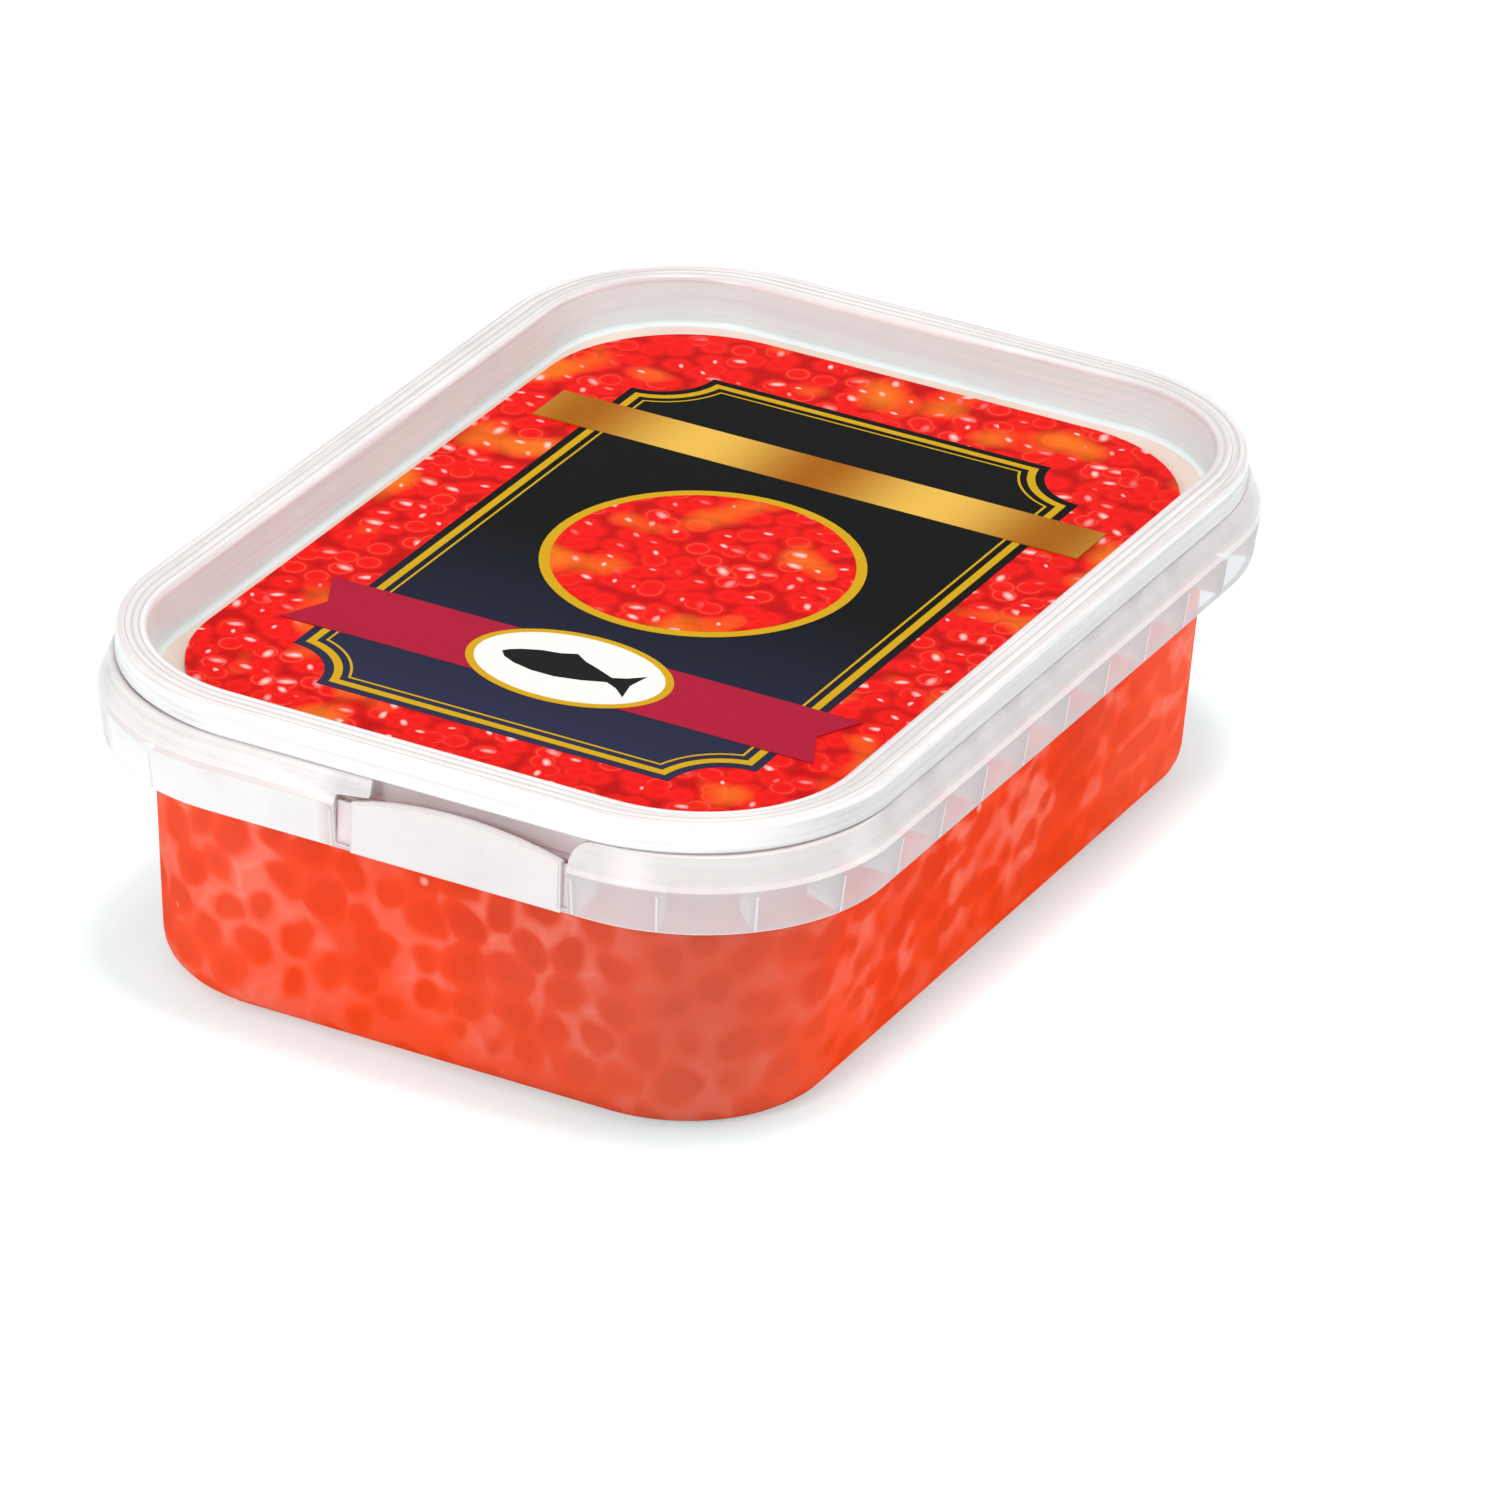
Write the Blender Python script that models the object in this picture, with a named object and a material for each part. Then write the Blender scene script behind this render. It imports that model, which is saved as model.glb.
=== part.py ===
"""Salmon roe in its shut tub: a clear moulded tub with a collar round its rim, a press-on
lid with a sunken panel, a printed label on the panel, and the roe that fills the tub.
Metres, +Z up. The tub stands on z = 0, its length runs along Y and its tear tab faces -Y.
"""
import math
import random

import bmesh
import bpy
from mathutils import Matrix, Vector

# The outline that every inset is measured from: the collar at its widest line
HALF_WIDTH = 0.0543
HALF_LENGTH = 0.0760
CORNER_STEPS = 8
CORNERS = ((1, 1), (-1, 1), (-1, -1), (1, -1))

# Wall and base of the tub, which leans outwards as it rises
FOOT_INSET = 0.0081
FOOT_RADIUS = 0.0205
DRAFT = 0.0545
WALL = 0.0010
BASE = 0.0012
BASE_FILLET = 0.0042

# Collar that hides the lid's edge, with the web that carries it
COLLAR_RADIUS = 0.0274
COLLAR_BOTTOM = 0.0322
COLLAR_STEP = 0.0384
COLLAR_TOP = 0.0424
COLLAR_LEAN = 0.0008
COLLAR_NECK = 0.0016
COLLAR_THICKNESS = 0.0010
STEP_HEIGHT = 0.0007
STEP_DEPTH = 0.00035
WEB_BOTTOM = 0.0376
WEB_TOP = 0.0384

# Rim of the tub, which stands inside the lid's hollow ridge
RIM_INSET = 0.0039
RIM_RADIUS = 0.0230
RIM_THICKNESS = 0.0014
RIM_TOP = 0.0451
RIM_FOOT_INSET = 0.0043
SHOULDER_TOP = 0.0392
SHOULDER_BOTTOM = 0.0378

# Lid: skirt, ridge and sunken panel
LID_INSET = 0.00145
LID_RADIUS = 0.0280
RIDGE_INNER_INSET = 0.00655
RIDGE_INNER_RADIUS = 0.0205
SKIRT_BOTTOM = 0.0427
RIDGE_TOP = 0.0465
RIDGE_ROUND = 0.0007
GROOVE_WIDTH = 0.0012
GROOVE_DEPTH = 0.00025
LID_THICKNESS = 0.0009
PANEL_TOP = 0.0396
PANEL_THICKNESS = 0.0008
PANEL_ROUND = 0.0009
PANEL_LEAN = 0.0006

# Label laid on the panel
LABEL_INSET_X = 0.0090
LABEL_INSET_Y = 0.0106
LABEL_RADIUS = 0.0215
LABEL_BOTTOM = 0.0399
LABEL_THICKNESS = 0.0004

# Ribs between the collar and the wall, below the web
RIB_THICKNESS = 0.0007
RIB_BOTTOM = 0.0324
RIB_TOP = 0.0380
RIB_PITCH = 0.0113
SIDE_RIBS = 9
BACK_RIBS = 5
BACK_RIB_PITCH = 0.0118
CORNER_RIB_ANGLES = (19.0, 45.0, 71.0)
FRONT_RIB_PLACES = (-0.0091, 0.0247)
RIB_OUTER = (0.0013, 0.0005)
RIB_INNER_STRAIGHT = (0.0068, 0.0065)
RIB_INNER_CORNER = (0.0074, 0.0070)

# Tear tab in the front of the collar, with the slits beside it and the window above it
TAB_LEFT = -0.0063
TAB_RIGHT = 0.0232
TAB_END_HEIGHT = 0.0392
TAB_RISE = 0.0019
TAB_ARC_POINTS = 9
LEFT_SLIT = 0.0022
RIGHT_SLIT = 0.0008
SLIT_BOTTOM = 0.0331
TOP_SLIT = 0.0004
WINDOW_LEFT = -0.0039
SHOULDER_ROUND = 0.0031
SHOULDER_POINTS = 4
CUT_MARGIN = 0.0010
CUT_DEPTH = 0.0030
TAB_FIN = 0.0006
TAB_FIN_DEPTH = 0.0025

# Roe: a core with the eggs that press against the tub
EGG_RADII = (0.0028, 0.0034)
EGG_SEGMENTS = 6
EGG_RINGS = 4
EGG_CLEARANCE = 0.0004
CORE_DEPTH = 0.0026
CORE_ROUND = 0.0030
EGG_ROWS = 4
EGG_ROW_PITCH = 0.0086
EGG_LOWEST_ROW = 0.0057
EGG_PITCH = 0.0112
FACE_PITCH = 0.0155
EGG_JITTER = 0.0010
ROE_SEED = 7

SMOOTH_ANGLE = math.radians(35.0)


def clear_scene():
    for thing in list(bpy.data.objects):
        bpy.data.objects.remove(thing)


def moulded_material(name, colour, roughness, transmission=0.0):
    material = bpy.data.materials.new(name)
    material.use_nodes = True
    shader = material.node_tree.nodes["Principled BSDF"]
    shader.inputs["Base Color"].default_value = (*colour, 1.0)
    shader.inputs["Roughness"].default_value = roughness
    shader.inputs["Metallic"].default_value = 0.0
    shader.inputs["Transmission Weight"].default_value = transmission
    return material


def rounded_outline(inset_x, inset_y, radius, height):
    """Points of a rounded rectangle at one height, anticlockwise from the +X side."""
    centre_x = HALF_WIDTH - inset_x - radius
    centre_y = HALF_LENGTH - inset_y - radius
    points = []
    for corner, (side_x, side_y) in enumerate(CORNERS):
        for step in range(CORNER_STEPS + 1):
            angle = math.radians(90.0) * (corner + step / CORNER_STEPS)
            points.append(Vector((
                side_x * centre_x + radius * math.cos(angle),
                side_y * centre_y + radius * math.sin(angle),
                height)))
    return points


def ring(inset, height, base_inset, base_radius):
    """A ring parallel to the outline that has base_radius at base_inset."""
    return rounded_outline(inset, inset, base_radius + base_inset - inset, height)


def object_from_bmesh(name, shape, material):
    bmesh.ops.recalc_face_normals(shape, faces=shape.faces)
    mesh = bpy.data.meshes.new(name)
    shape.to_mesh(mesh)
    shape.free()
    mesh.materials.append(material)
    mesh.shade_smooth()
    mesh.set_sharp_from_angle(angle=SMOOTH_ANGLE)
    thing = bpy.data.objects.new(name, mesh)
    bpy.context.scene.collection.objects.link(thing)
    return thing


def loft(name, rings, material):
    """Closed body that follows the rings in turn, with a flat cap on the first and the last."""
    shape = bmesh.new()
    loops = [[shape.verts.new(point) for point in points] for points in rings]
    count = len(loops[0])
    for lower, upper in zip(loops, loops[1:]):
        for index in range(count):
            after = (index + 1) % count
            shape.faces.new((lower[index], lower[after], upper[after], upper[index]))
    shape.faces.new(loops[0])
    shape.faces.new(loops[-1])
    return object_from_bmesh(name, shape, material)


def prism(name, front, back, material):
    """Closed body between two like outlines."""
    return loft(name, (front, back), material)


def combine(base, pieces, operation):
    """Join the pieces to the base, or cut them out of it, and remove them."""
    group = bpy.data.collections.new(base.name + "_pieces")
    for piece in pieces:
        bpy.context.scene.collection.objects.unlink(piece)
        group.objects.link(piece)
    modifier = base.modifiers.new(operation.lower(), "BOOLEAN")
    modifier.operand_type = "COLLECTION"
    modifier.collection = group
    modifier.operation = operation
    modifier.solver = "EXACT"
    bpy.context.view_layer.update()
    evaluated = base.evaluated_get(bpy.context.evaluated_depsgraph_get())
    result = bpy.data.meshes.new_from_object(evaluated)
    base.modifiers.clear()
    base.data = result
    result.name = base.name
    for piece in pieces:
        bpy.data.objects.remove(piece)
    bpy.data.collections.remove(group)


def wall_inset(height):
    return FOOT_INSET - DRAFT * height


def wall_ring(height, depth=0.0):
    """Ring on the leaning wall, or that far inside it."""
    return ring(wall_inset(height) + depth, height, FOOT_INSET, FOOT_RADIUS)


def fillet_rings(depth, floor, fillet):
    """Rings round the bottom edge, from the floor up to the wall."""
    rings = []
    for angle in (90.0, 60.0, 30.0, 0.0):
        inwards = fillet * (1.0 - math.cos(math.radians(angle)))
        upwards = fillet * (1.0 - math.sin(math.radians(angle)))
        height = floor + upwards
        rings.append(ring(wall_inset(height) + depth + inwards, height, FOOT_INSET, FOOT_RADIUS))
    return rings


def collar_ring(inset, height):
    return ring(inset, height, 0.0, COLLAR_RADIUS)


def rim_ring(inset, height):
    return ring(inset, height, RIM_INSET, RIM_RADIUS)


def tub_rings():
    """The tub's section from under the base, up the outside, over the rim and down inside."""
    neck_inset = STEP_DEPTH + COLLAR_THICKNESS
    rim_inner = RIM_INSET + RIM_THICKNESS
    outside = fillet_rings(0.0, 0.0, BASE_FILLET)
    outside += [wall_ring(WEB_BOTTOM)]
    collar = [
        collar_ring(COLLAR_THICKNESS, WEB_BOTTOM),
        collar_ring(COLLAR_LEAN + COLLAR_THICKNESS, COLLAR_BOTTOM),
        collar_ring(COLLAR_LEAN, COLLAR_BOTTOM),
        collar_ring(0.0, COLLAR_STEP),
        collar_ring(STEP_DEPTH, COLLAR_STEP + STEP_HEIGHT),
        collar_ring(COLLAR_NECK, COLLAR_TOP),
        collar_ring(COLLAR_NECK + COLLAR_THICKNESS, COLLAR_TOP),
        collar_ring(neck_inset, WEB_TOP),
    ]
    rim = [
        rim_ring(RIM_FOOT_INSET, WEB_TOP),
        rim_ring(RIM_INSET, RIM_TOP),
        rim_ring(rim_inner, RIM_TOP),
        rim_ring(rim_inner + RIM_FOOT_INSET - RIM_INSET, SHOULDER_TOP),
    ]
    inside = [wall_ring(SHOULDER_BOTTOM, WALL)]
    inside += reversed(fillet_rings(WALL, BASE, BASE_FILLET - WALL))
    return outside + collar + rim + inside


def rib(foot, outwards, inner_reach, material):
    """Thin fin whose outer edge is in the collar and whose inner edge is in the wall.

    foot is the point of the widest outline that the fin points at.
    """
    sideways = Vector((-outwards.y, outwards.x, 0.0)) * (RIB_THICKNESS / 2)
    corners = []
    for side in (sideways, -sideways):
        corners.append([
            foot - outwards * RIB_OUTER[0] + side + Vector((0, 0, RIB_BOTTOM)),
            foot - outwards * RIB_OUTER[1] + side + Vector((0, 0, RIB_TOP)),
            foot - outwards * inner_reach[1] + side + Vector((0, 0, RIB_TOP)),
            foot - outwards * inner_reach[0] + side + Vector((0, 0, RIB_BOTTOM)),
        ])
    return prism("rib", corners[0], corners[1], material)


def collar_ribs(material):
    ribs = []
    for side in (-1, 1):
        for index in range(SIDE_RIBS):
            place = (index - (SIDE_RIBS - 1) / 2) * RIB_PITCH
            foot = Vector((side * HALF_WIDTH, place, 0.0))
            ribs.append(rib(foot, Vector((side, 0, 0)), RIB_INNER_STRAIGHT, material))
    for index in range(BACK_RIBS):
        place = (index - (BACK_RIBS - 1) / 2) * BACK_RIB_PITCH
        foot = Vector((place, HALF_LENGTH, 0.0))
        ribs.append(rib(foot, Vector((0, 1, 0)), RIB_INNER_STRAIGHT, material))
    for place in FRONT_RIB_PLACES:
        foot = Vector((place, -HALF_LENGTH, 0.0))
        ribs.append(rib(foot, Vector((0, -1, 0)), RIB_INNER_STRAIGHT, material))
    for side_x, side_y in CORNERS:
        centre = Vector((
            side_x * (HALF_WIDTH - COLLAR_RADIUS), side_y * (HALF_LENGTH - COLLAR_RADIUS), 0.0))
        for degrees in CORNER_RIB_ANGLES:
            angle = math.radians(degrees)
            outwards = Vector((side_x * math.cos(angle), side_y * math.sin(angle), 0.0))
            foot = centre + outwards * COLLAR_RADIUS
            ribs.append(rib(foot, outwards, RIB_INNER_CORNER, material))
    return ribs


def front_prism(name, outline, near, far, material):
    """Prism through the front of the collar, from an outline of x and z."""
    front = [Vector((x, -HALF_LENGTH + near, z)) for x, z in outline]
    back = [Vector((x, -HALF_LENGTH + far, z)) for x, z in outline]
    return prism(name, front, back, material)


def tab_height(place):
    """Height of the tab's arched top edge at one place along the front."""
    middle = (TAB_LEFT + TAB_RIGHT) / 2
    half = (TAB_RIGHT - TAB_LEFT) / 2
    return TAB_END_HEIGHT + TAB_RISE * (1.0 - ((place - middle) / half) ** 2)


def window_outline():
    """Outline of the slits beside the tab, the slit over its left end and the window."""
    top = COLLAR_TOP + CUT_MARGIN
    slit_left = TAB_LEFT - LEFT_SLIT
    slit_right = TAB_RIGHT + RIGHT_SLIT
    outline = [
        (WINDOW_LEFT, top),
        (WINDOW_LEFT, tab_height(WINDOW_LEFT) + TOP_SLIT),
        (slit_left, TAB_END_HEIGHT + TOP_SLIT),
        (slit_left, SLIT_BOTTOM),
        (TAB_LEFT, SLIT_BOTTOM),
    ]
    for index in range(TAB_ARC_POINTS):
        place = TAB_LEFT + (TAB_RIGHT - TAB_LEFT) * index / (TAB_ARC_POINTS - 1)
        outline.append((place, tab_height(place)))
    outline.append((TAB_RIGHT, SLIT_BOTTOM))
    outline.append((slit_right, SLIT_BOTTOM))
    for index in range(SHOULDER_POINTS + 1):
        angle = math.radians(90.0) * index / SHOULDER_POINTS
        outline.append((
            slit_right + SHOULDER_ROUND * (1.0 - math.cos(angle)),
            COLLAR_TOP - SHOULDER_ROUND * (1.0 - math.sin(angle))))
    outline.append((slit_right + SHOULDER_ROUND, top))
    return outline


def rectangle(left, right, bottom, top):
    return [(left, bottom), (right, bottom), (right, top), (left, top)]


def make_tub(material):
    tub = loft("tub", tub_rings(), material)
    fin = front_prism(
        "tab_fin",
        rectangle(TAB_LEFT, TAB_LEFT + TAB_FIN, SLIT_BOTTOM, TAB_END_HEIGHT - TOP_SLIT),
        COLLAR_THICKNESS / 2 + COLLAR_LEAN, TAB_FIN_DEPTH, material)
    combine(tub, collar_ribs(material), "UNION")
    window = front_prism("window", window_outline(), -CUT_DEPTH, CUT_DEPTH, material)
    slot = front_prism(
        "slot",
        rectangle(TAB_LEFT - LEFT_SLIT, TAB_RIGHT + RIGHT_SLIT,
                  WEB_BOTTOM - CUT_MARGIN, WEB_TOP + CUT_MARGIN / 2),
        COLLAR_THICKNESS + STEP_DEPTH, CUT_DEPTH, material)
    combine(tub, [window, slot], "DIFFERENCE")
    combine(tub, [fin], "UNION")
    return tub


def lid_rings():
    """The lid's section from the panel's top, over the ridge and back under the panel."""
    panel_bottom = PANEL_TOP - PANEL_THICKNESS
    plug_inset = RIDGE_INNER_INSET - LID_THICKNESS
    groove_middle = (LID_INSET + RIDGE_INNER_INSET) / 2
    ceiling = RIDGE_TOP - LID_THICKNESS - GROOVE_DEPTH

    def inner(inset, height):
        return ring(inset, height, RIDGE_INNER_INSET, RIDGE_INNER_RADIUS)

    def outer(inset, height):
        return ring(inset, height, LID_INSET, LID_RADIUS)

    def between(inset, height):
        share = (inset - LID_INSET) / (RIDGE_INNER_INSET - LID_INSET)
        radius = LID_RADIUS + share * (RIDGE_INNER_RADIUS - LID_RADIUS)
        return rounded_outline(inset, inset, radius, height)

    return [
        inner(RIDGE_INNER_INSET + PANEL_LEAN + PANEL_ROUND, PANEL_TOP),
        inner(RIDGE_INNER_INSET + PANEL_LEAN, PANEL_TOP + PANEL_ROUND),
        inner(RIDGE_INNER_INSET, RIDGE_TOP - RIDGE_ROUND),
        between(RIDGE_INNER_INSET - RIDGE_ROUND, RIDGE_TOP),
        between(groove_middle + GROOVE_WIDTH / 2, RIDGE_TOP),
        between(groove_middle + GROOVE_WIDTH / 4, RIDGE_TOP - GROOVE_DEPTH),
        between(groove_middle - GROOVE_WIDTH / 4, RIDGE_TOP - GROOVE_DEPTH),
        between(groove_middle - GROOVE_WIDTH / 2, RIDGE_TOP),
        between(LID_INSET + RIDGE_ROUND, RIDGE_TOP),
        outer(LID_INSET, RIDGE_TOP - RIDGE_ROUND),
        outer(LID_INSET, SKIRT_BOTTOM),
        outer(LID_INSET + LID_THICKNESS, SKIRT_BOTTOM),
        outer(LID_INSET + LID_THICKNESS, ceiling),
        inner(plug_inset, ceiling),
        inner(plug_inset + PANEL_LEAN, PANEL_TOP),
        inner(plug_inset + PANEL_LEAN + PANEL_ROUND, panel_bottom),
    ]


def make_lid(material):
    return loft("lid", lid_rings(), material)


def make_label(material):
    rings = [
        rounded_outline(LABEL_INSET_X, LABEL_INSET_Y, LABEL_RADIUS, height)
        for height in (LABEL_BOTTOM, LABEL_BOTTOM + LABEL_THICKNESS)
    ]
    return loft("label", rings, material)


def egg(centre, radius, turn, material):
    """One egg as a round body with few sides, turned by the three angles."""
    shape = bmesh.new()
    bmesh.ops.create_uvsphere(
        shape, u_segments=EGG_SEGMENTS, v_segments=EGG_RINGS, radius=radius)
    rotation = Matrix.Rotation(turn[0], 4, "X") @ Matrix.Rotation(turn[1], 4, "Z")
    bmesh.ops.transform(shape, matrix=Matrix.Translation(centre) @ rotation, verts=shape.verts)
    return object_from_bmesh("egg", shape, material)


def wall_path(inset):
    """Corner radius and half straights of an outline parallel to the wall."""
    radius = FOOT_RADIUS + FOOT_INSET - inset
    return radius, HALF_WIDTH - inset - radius, HALF_LENGTH - inset - radius


def wall_path_length(inset):
    radius, half_x, half_y = wall_path(inset)
    return 4 * (half_x + half_y) + 2 * math.pi * radius


def wall_path_point(inset, distance):
    """Point at a distance along the outline, anticlockwise from the start of the first corner."""
    radius, half_x, half_y = wall_path(inset)
    arc = radius * math.pi / 2
    distance %= wall_path_length(inset)
    for corner, (side_x, side_y) in enumerate(CORNERS):
        straight = 2 * (half_x if corner % 2 == 0 else half_y)
        if distance <= arc + straight:
            break
        distance -= arc + straight
    angle = math.pi / 2 * corner + min(distance / radius, math.pi / 2)
    outwards = Vector((math.cos(angle), math.sin(angle), 0.0))
    along = Vector((-outwards.y, outwards.x, 0.0))
    centre = Vector((side_x * half_x, side_y * half_y, 0.0))
    return centre + outwards * radius + along * max(distance - arc, 0.0)


def egg_places(draw):
    """Places and radii of the eggs: rows round the wall, and grids above and below."""
    places = []
    roof = PANEL_TOP - PANEL_THICKNESS
    for row in range(EGG_ROWS):
        height = EGG_LOWEST_ROW + row * EGG_ROW_PITCH
        length = wall_path_length(wall_inset(height) + WALL + EGG_RADII[1])
        count = round(length / EGG_PITCH)
        for index in range(count):
            radius = draw.uniform(*EGG_RADII)
            level = height + draw.uniform(-EGG_JITTER, EGG_JITTER)
            inset = wall_inset(level) + WALL + EGG_CLEARANCE + radius
            distance = (index + row % 2 / 2) * length / count
            distance += draw.uniform(-EGG_JITTER, EGG_JITTER)
            point = wall_path_point(inset, distance)
            places.append((point + Vector((0, 0, level)), radius))
    half_x = HALF_WIDTH - FOOT_INSET - FACE_PITCH
    half_y = HALF_LENGTH - FOOT_INSET - FACE_PITCH
    columns = int(2 * half_x / FACE_PITCH) + 1
    lines = int(2 * half_y / FACE_PITCH) + 1
    for upper in (False, True):
        for line in range(lines):
            for column in range(columns):
                radius = draw.uniform(*EGG_RADII)
                x = (column - (columns - 1) / 2 + (line % 2 - 0.5) / 2) * FACE_PITCH
                y = (line - (lines - 1) / 2) * FACE_PITCH
                x += draw.uniform(-EGG_JITTER, EGG_JITTER)
                y += draw.uniform(-EGG_JITTER, EGG_JITTER)
                z = BASE + EGG_CLEARANCE + radius
                if upper:
                    z = roof - EGG_CLEARANCE - radius
                places.append((Vector((x, y, z)), radius))
    return places


def core_rings():
    """The core's rings, each a fixed depth inside the tub's wall, base and lid."""
    bottom = BASE + CORE_DEPTH
    top = PANEL_TOP - PANEL_THICKNESS - CORE_DEPTH
    heights = (
        (bottom, CORE_ROUND), (bottom + CORE_ROUND, 0.0),
        (top - CORE_ROUND, 0.0), (top, CORE_ROUND))
    return [wall_ring(height, WALL + CORE_DEPTH + extra) for height, extra in heights]


def make_roe(material):
    draw = random.Random(ROE_SEED)
    roe = loft("roe", core_rings(), material)
    eggs = []
    for centre, radius in egg_places(draw):
        turn = (draw.uniform(0, math.pi), draw.uniform(0, math.pi))
        eggs.append(egg(centre, radius, turn, material))
    combine(roe, eggs, "UNION")
    return roe


def build():
    clear_scene()
    tub_plastic = moulded_material("tub_plastic", (0.90, 0.87, 0.85), 0.35, 0.6)
    lid_plastic = moulded_material("lid_plastic", (0.93, 0.93, 0.92), 0.30, 0.3)
    label_film = moulded_material("label_film", (0.55, 0.02, 0.02), 0.25)
    roe_skin = moulded_material("roe_skin", (0.85, 0.09, 0.03), 0.15, 0.3)
    make_tub(tub_plastic)
    make_lid(lid_plastic)
    make_label(label_film)
    make_roe(roe_skin)


build()
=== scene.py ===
import math

import bmesh
import bpy
import numpy as np
from mathutils import Matrix, Vector, noise
from mathutils.kdtree import KDTree


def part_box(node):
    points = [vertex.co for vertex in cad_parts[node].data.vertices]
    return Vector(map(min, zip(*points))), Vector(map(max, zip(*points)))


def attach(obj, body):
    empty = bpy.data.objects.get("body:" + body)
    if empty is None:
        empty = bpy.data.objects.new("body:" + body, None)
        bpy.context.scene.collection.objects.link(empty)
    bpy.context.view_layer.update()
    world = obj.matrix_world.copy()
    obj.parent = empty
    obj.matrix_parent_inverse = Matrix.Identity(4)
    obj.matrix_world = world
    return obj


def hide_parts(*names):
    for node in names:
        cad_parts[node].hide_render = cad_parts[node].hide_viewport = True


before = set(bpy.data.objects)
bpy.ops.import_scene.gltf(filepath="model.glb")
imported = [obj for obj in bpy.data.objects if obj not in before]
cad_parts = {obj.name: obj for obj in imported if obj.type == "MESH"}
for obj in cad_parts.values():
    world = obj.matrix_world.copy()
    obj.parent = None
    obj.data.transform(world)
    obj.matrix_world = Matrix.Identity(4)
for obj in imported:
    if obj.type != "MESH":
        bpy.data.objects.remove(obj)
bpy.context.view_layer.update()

MM = 0.001

# Camera
# The photograph was taken with a long lens from in front and to the right of the tub,
# a little above it, and with the camera turned a little.
CAMERA_AZIMUTH = math.radians(27.29)
CAMERA_ELEVATION = math.radians(27.36)
CAMERA_ROLL = math.radians(2.2)
CAMERA_DISTANCE = 1.404
CAMERA_TARGET = Vector((-0.0042, 0.0262, 0.0022))
LENS = 257.0
QUARTER_TURN = math.radians(90.0)


def link_object(name, data):
    thing = bpy.data.objects.new(name, data)
    bpy.context.scene.collection.objects.link(thing)
    return thing


def make_camera():
    camera = link_object("camera", bpy.data.cameras.new("camera"))
    camera.data.lens = LENS
    turn = Matrix.Rotation(CAMERA_AZIMUTH, 4, "Z")
    turn @= Matrix.Rotation(QUARTER_TURN - CAMERA_ELEVATION, 4, "X")
    turn @= Matrix.Rotation(CAMERA_ROLL, 4, "Z")
    camera.matrix_world = (
        Matrix.Translation(CAMERA_TARGET) @ turn @ Matrix.Translation((0, 0, CAMERA_DISTANCE)))
    bpy.context.scene.camera = camera


make_camera()

# Floor and light
# A white sweep under an even white sky, with a soft lamp in front, a smaller one overhead
# and a wide, weaker one on the right. The sweep glows a little, in the colour that the red
# roe's light lacks, so that the shadow stays grey, and more beside the tub than before it.
FLOOR_SIZE = 6.0
FLOOR_GAP = 0.05 * MM
FLOOR_COLOUR = (0.82, 0.82, 0.83, 1.0)
FLOOR_GLOW = (0.18, 0.39, 0.4, 1.0)
SIDE_GLOW = (0.36, 0.53, 0.54, 1.0)
SIDE_GLOW_START = (50 * MM, 64 * MM)
SIDE_GLOW_END = (90 * MM, 130 * MM)
SKY_STRENGTH = 0.65
LAMPS = (
    ("front_lamp", (-0.1, -1.8, 0.9), 0.5, 12.5),
    ("overhead_lamp", (0.2, -0.14, 1.6), 0.36, 13.0),
    ("right_lamp", (1.9, 0.9, 0.6), 1.0, 8.8),
)
LAMP_COLOUR = (1.0, 0.92, 0.91)


def linear(code):
    """Linear colour, with an alpha of 1, from an sRGB hex code."""
    parts = [int(code[at:at + 2], 16) / 255 for at in (1, 3, 5)]
    return (*[part / 12.92 if part <= 0.04045 else ((part + 0.055) / 1.055) ** 2.4
              for part in parts], 1.0)


def set_inputs(tree, node, inputs):
    """Sets or links a node's inputs by name or number."""
    for key, value in dict(inputs).items():
        if isinstance(value, bpy.types.NodeSocket):
            tree.links.new(value, node.inputs[key])
        else:
            node.inputs[key].default_value = value


def add_node(tree, kind, inputs=(), **settings):
    """Adds a node with its properties and inputs."""
    node = tree.nodes.new(kind)
    for name, value in settings.items():
        setattr(node, name, value)
    set_inputs(tree, node, inputs)
    return node


def set_shader(material, **inputs):
    """Sets or links inputs of the material's shader, with _ for a space."""
    tree = material.node_tree
    set_inputs(tree, tree.nodes["Principled BSDF"], {
        key.replace("_", " "): value for key, value in inputs.items()})
    return material


def new_material(name, **inputs):
    """Material with one Principled shader, and its node tree."""
    material = bpy.data.materials.new(name)
    material.use_nodes = True
    return set_shader(material, **inputs), material.node_tree


def places_in(tree):
    """The place on the object, and its three parts."""
    place = add_node(tree, "ShaderNodeTexCoord").outputs["Object"]
    return place, add_node(tree, "ShaderNodeSeparateXYZ", {"Vector": place}).outputs


def maths(tree, operation, *values, clamp=False):
    return add_node(tree, "ShaderNodeMath", enumerate(values), operation=operation,
                    use_clamp=clamp).outputs[0]


def ranged(tree, value, low, high, to_low=0.0, to_high=1.0, **settings):
    """The value moved from one range to another, and kept within it."""
    return add_node(tree, "ShaderNodeMapRange", {
        "Value": value, "From Min": low, "From Max": high,
        "To Min": to_low, "To Max": to_high}, **settings).outputs[0]


def blended(tree, share, first, second, **settings):
    """The first colour with that share of the second."""
    return add_node(tree, "ShaderNodeMix", {
        "Factor": share, "A": first, "B": second},
        data_type="RGBA", **settings).outputs["Result"]


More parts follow.
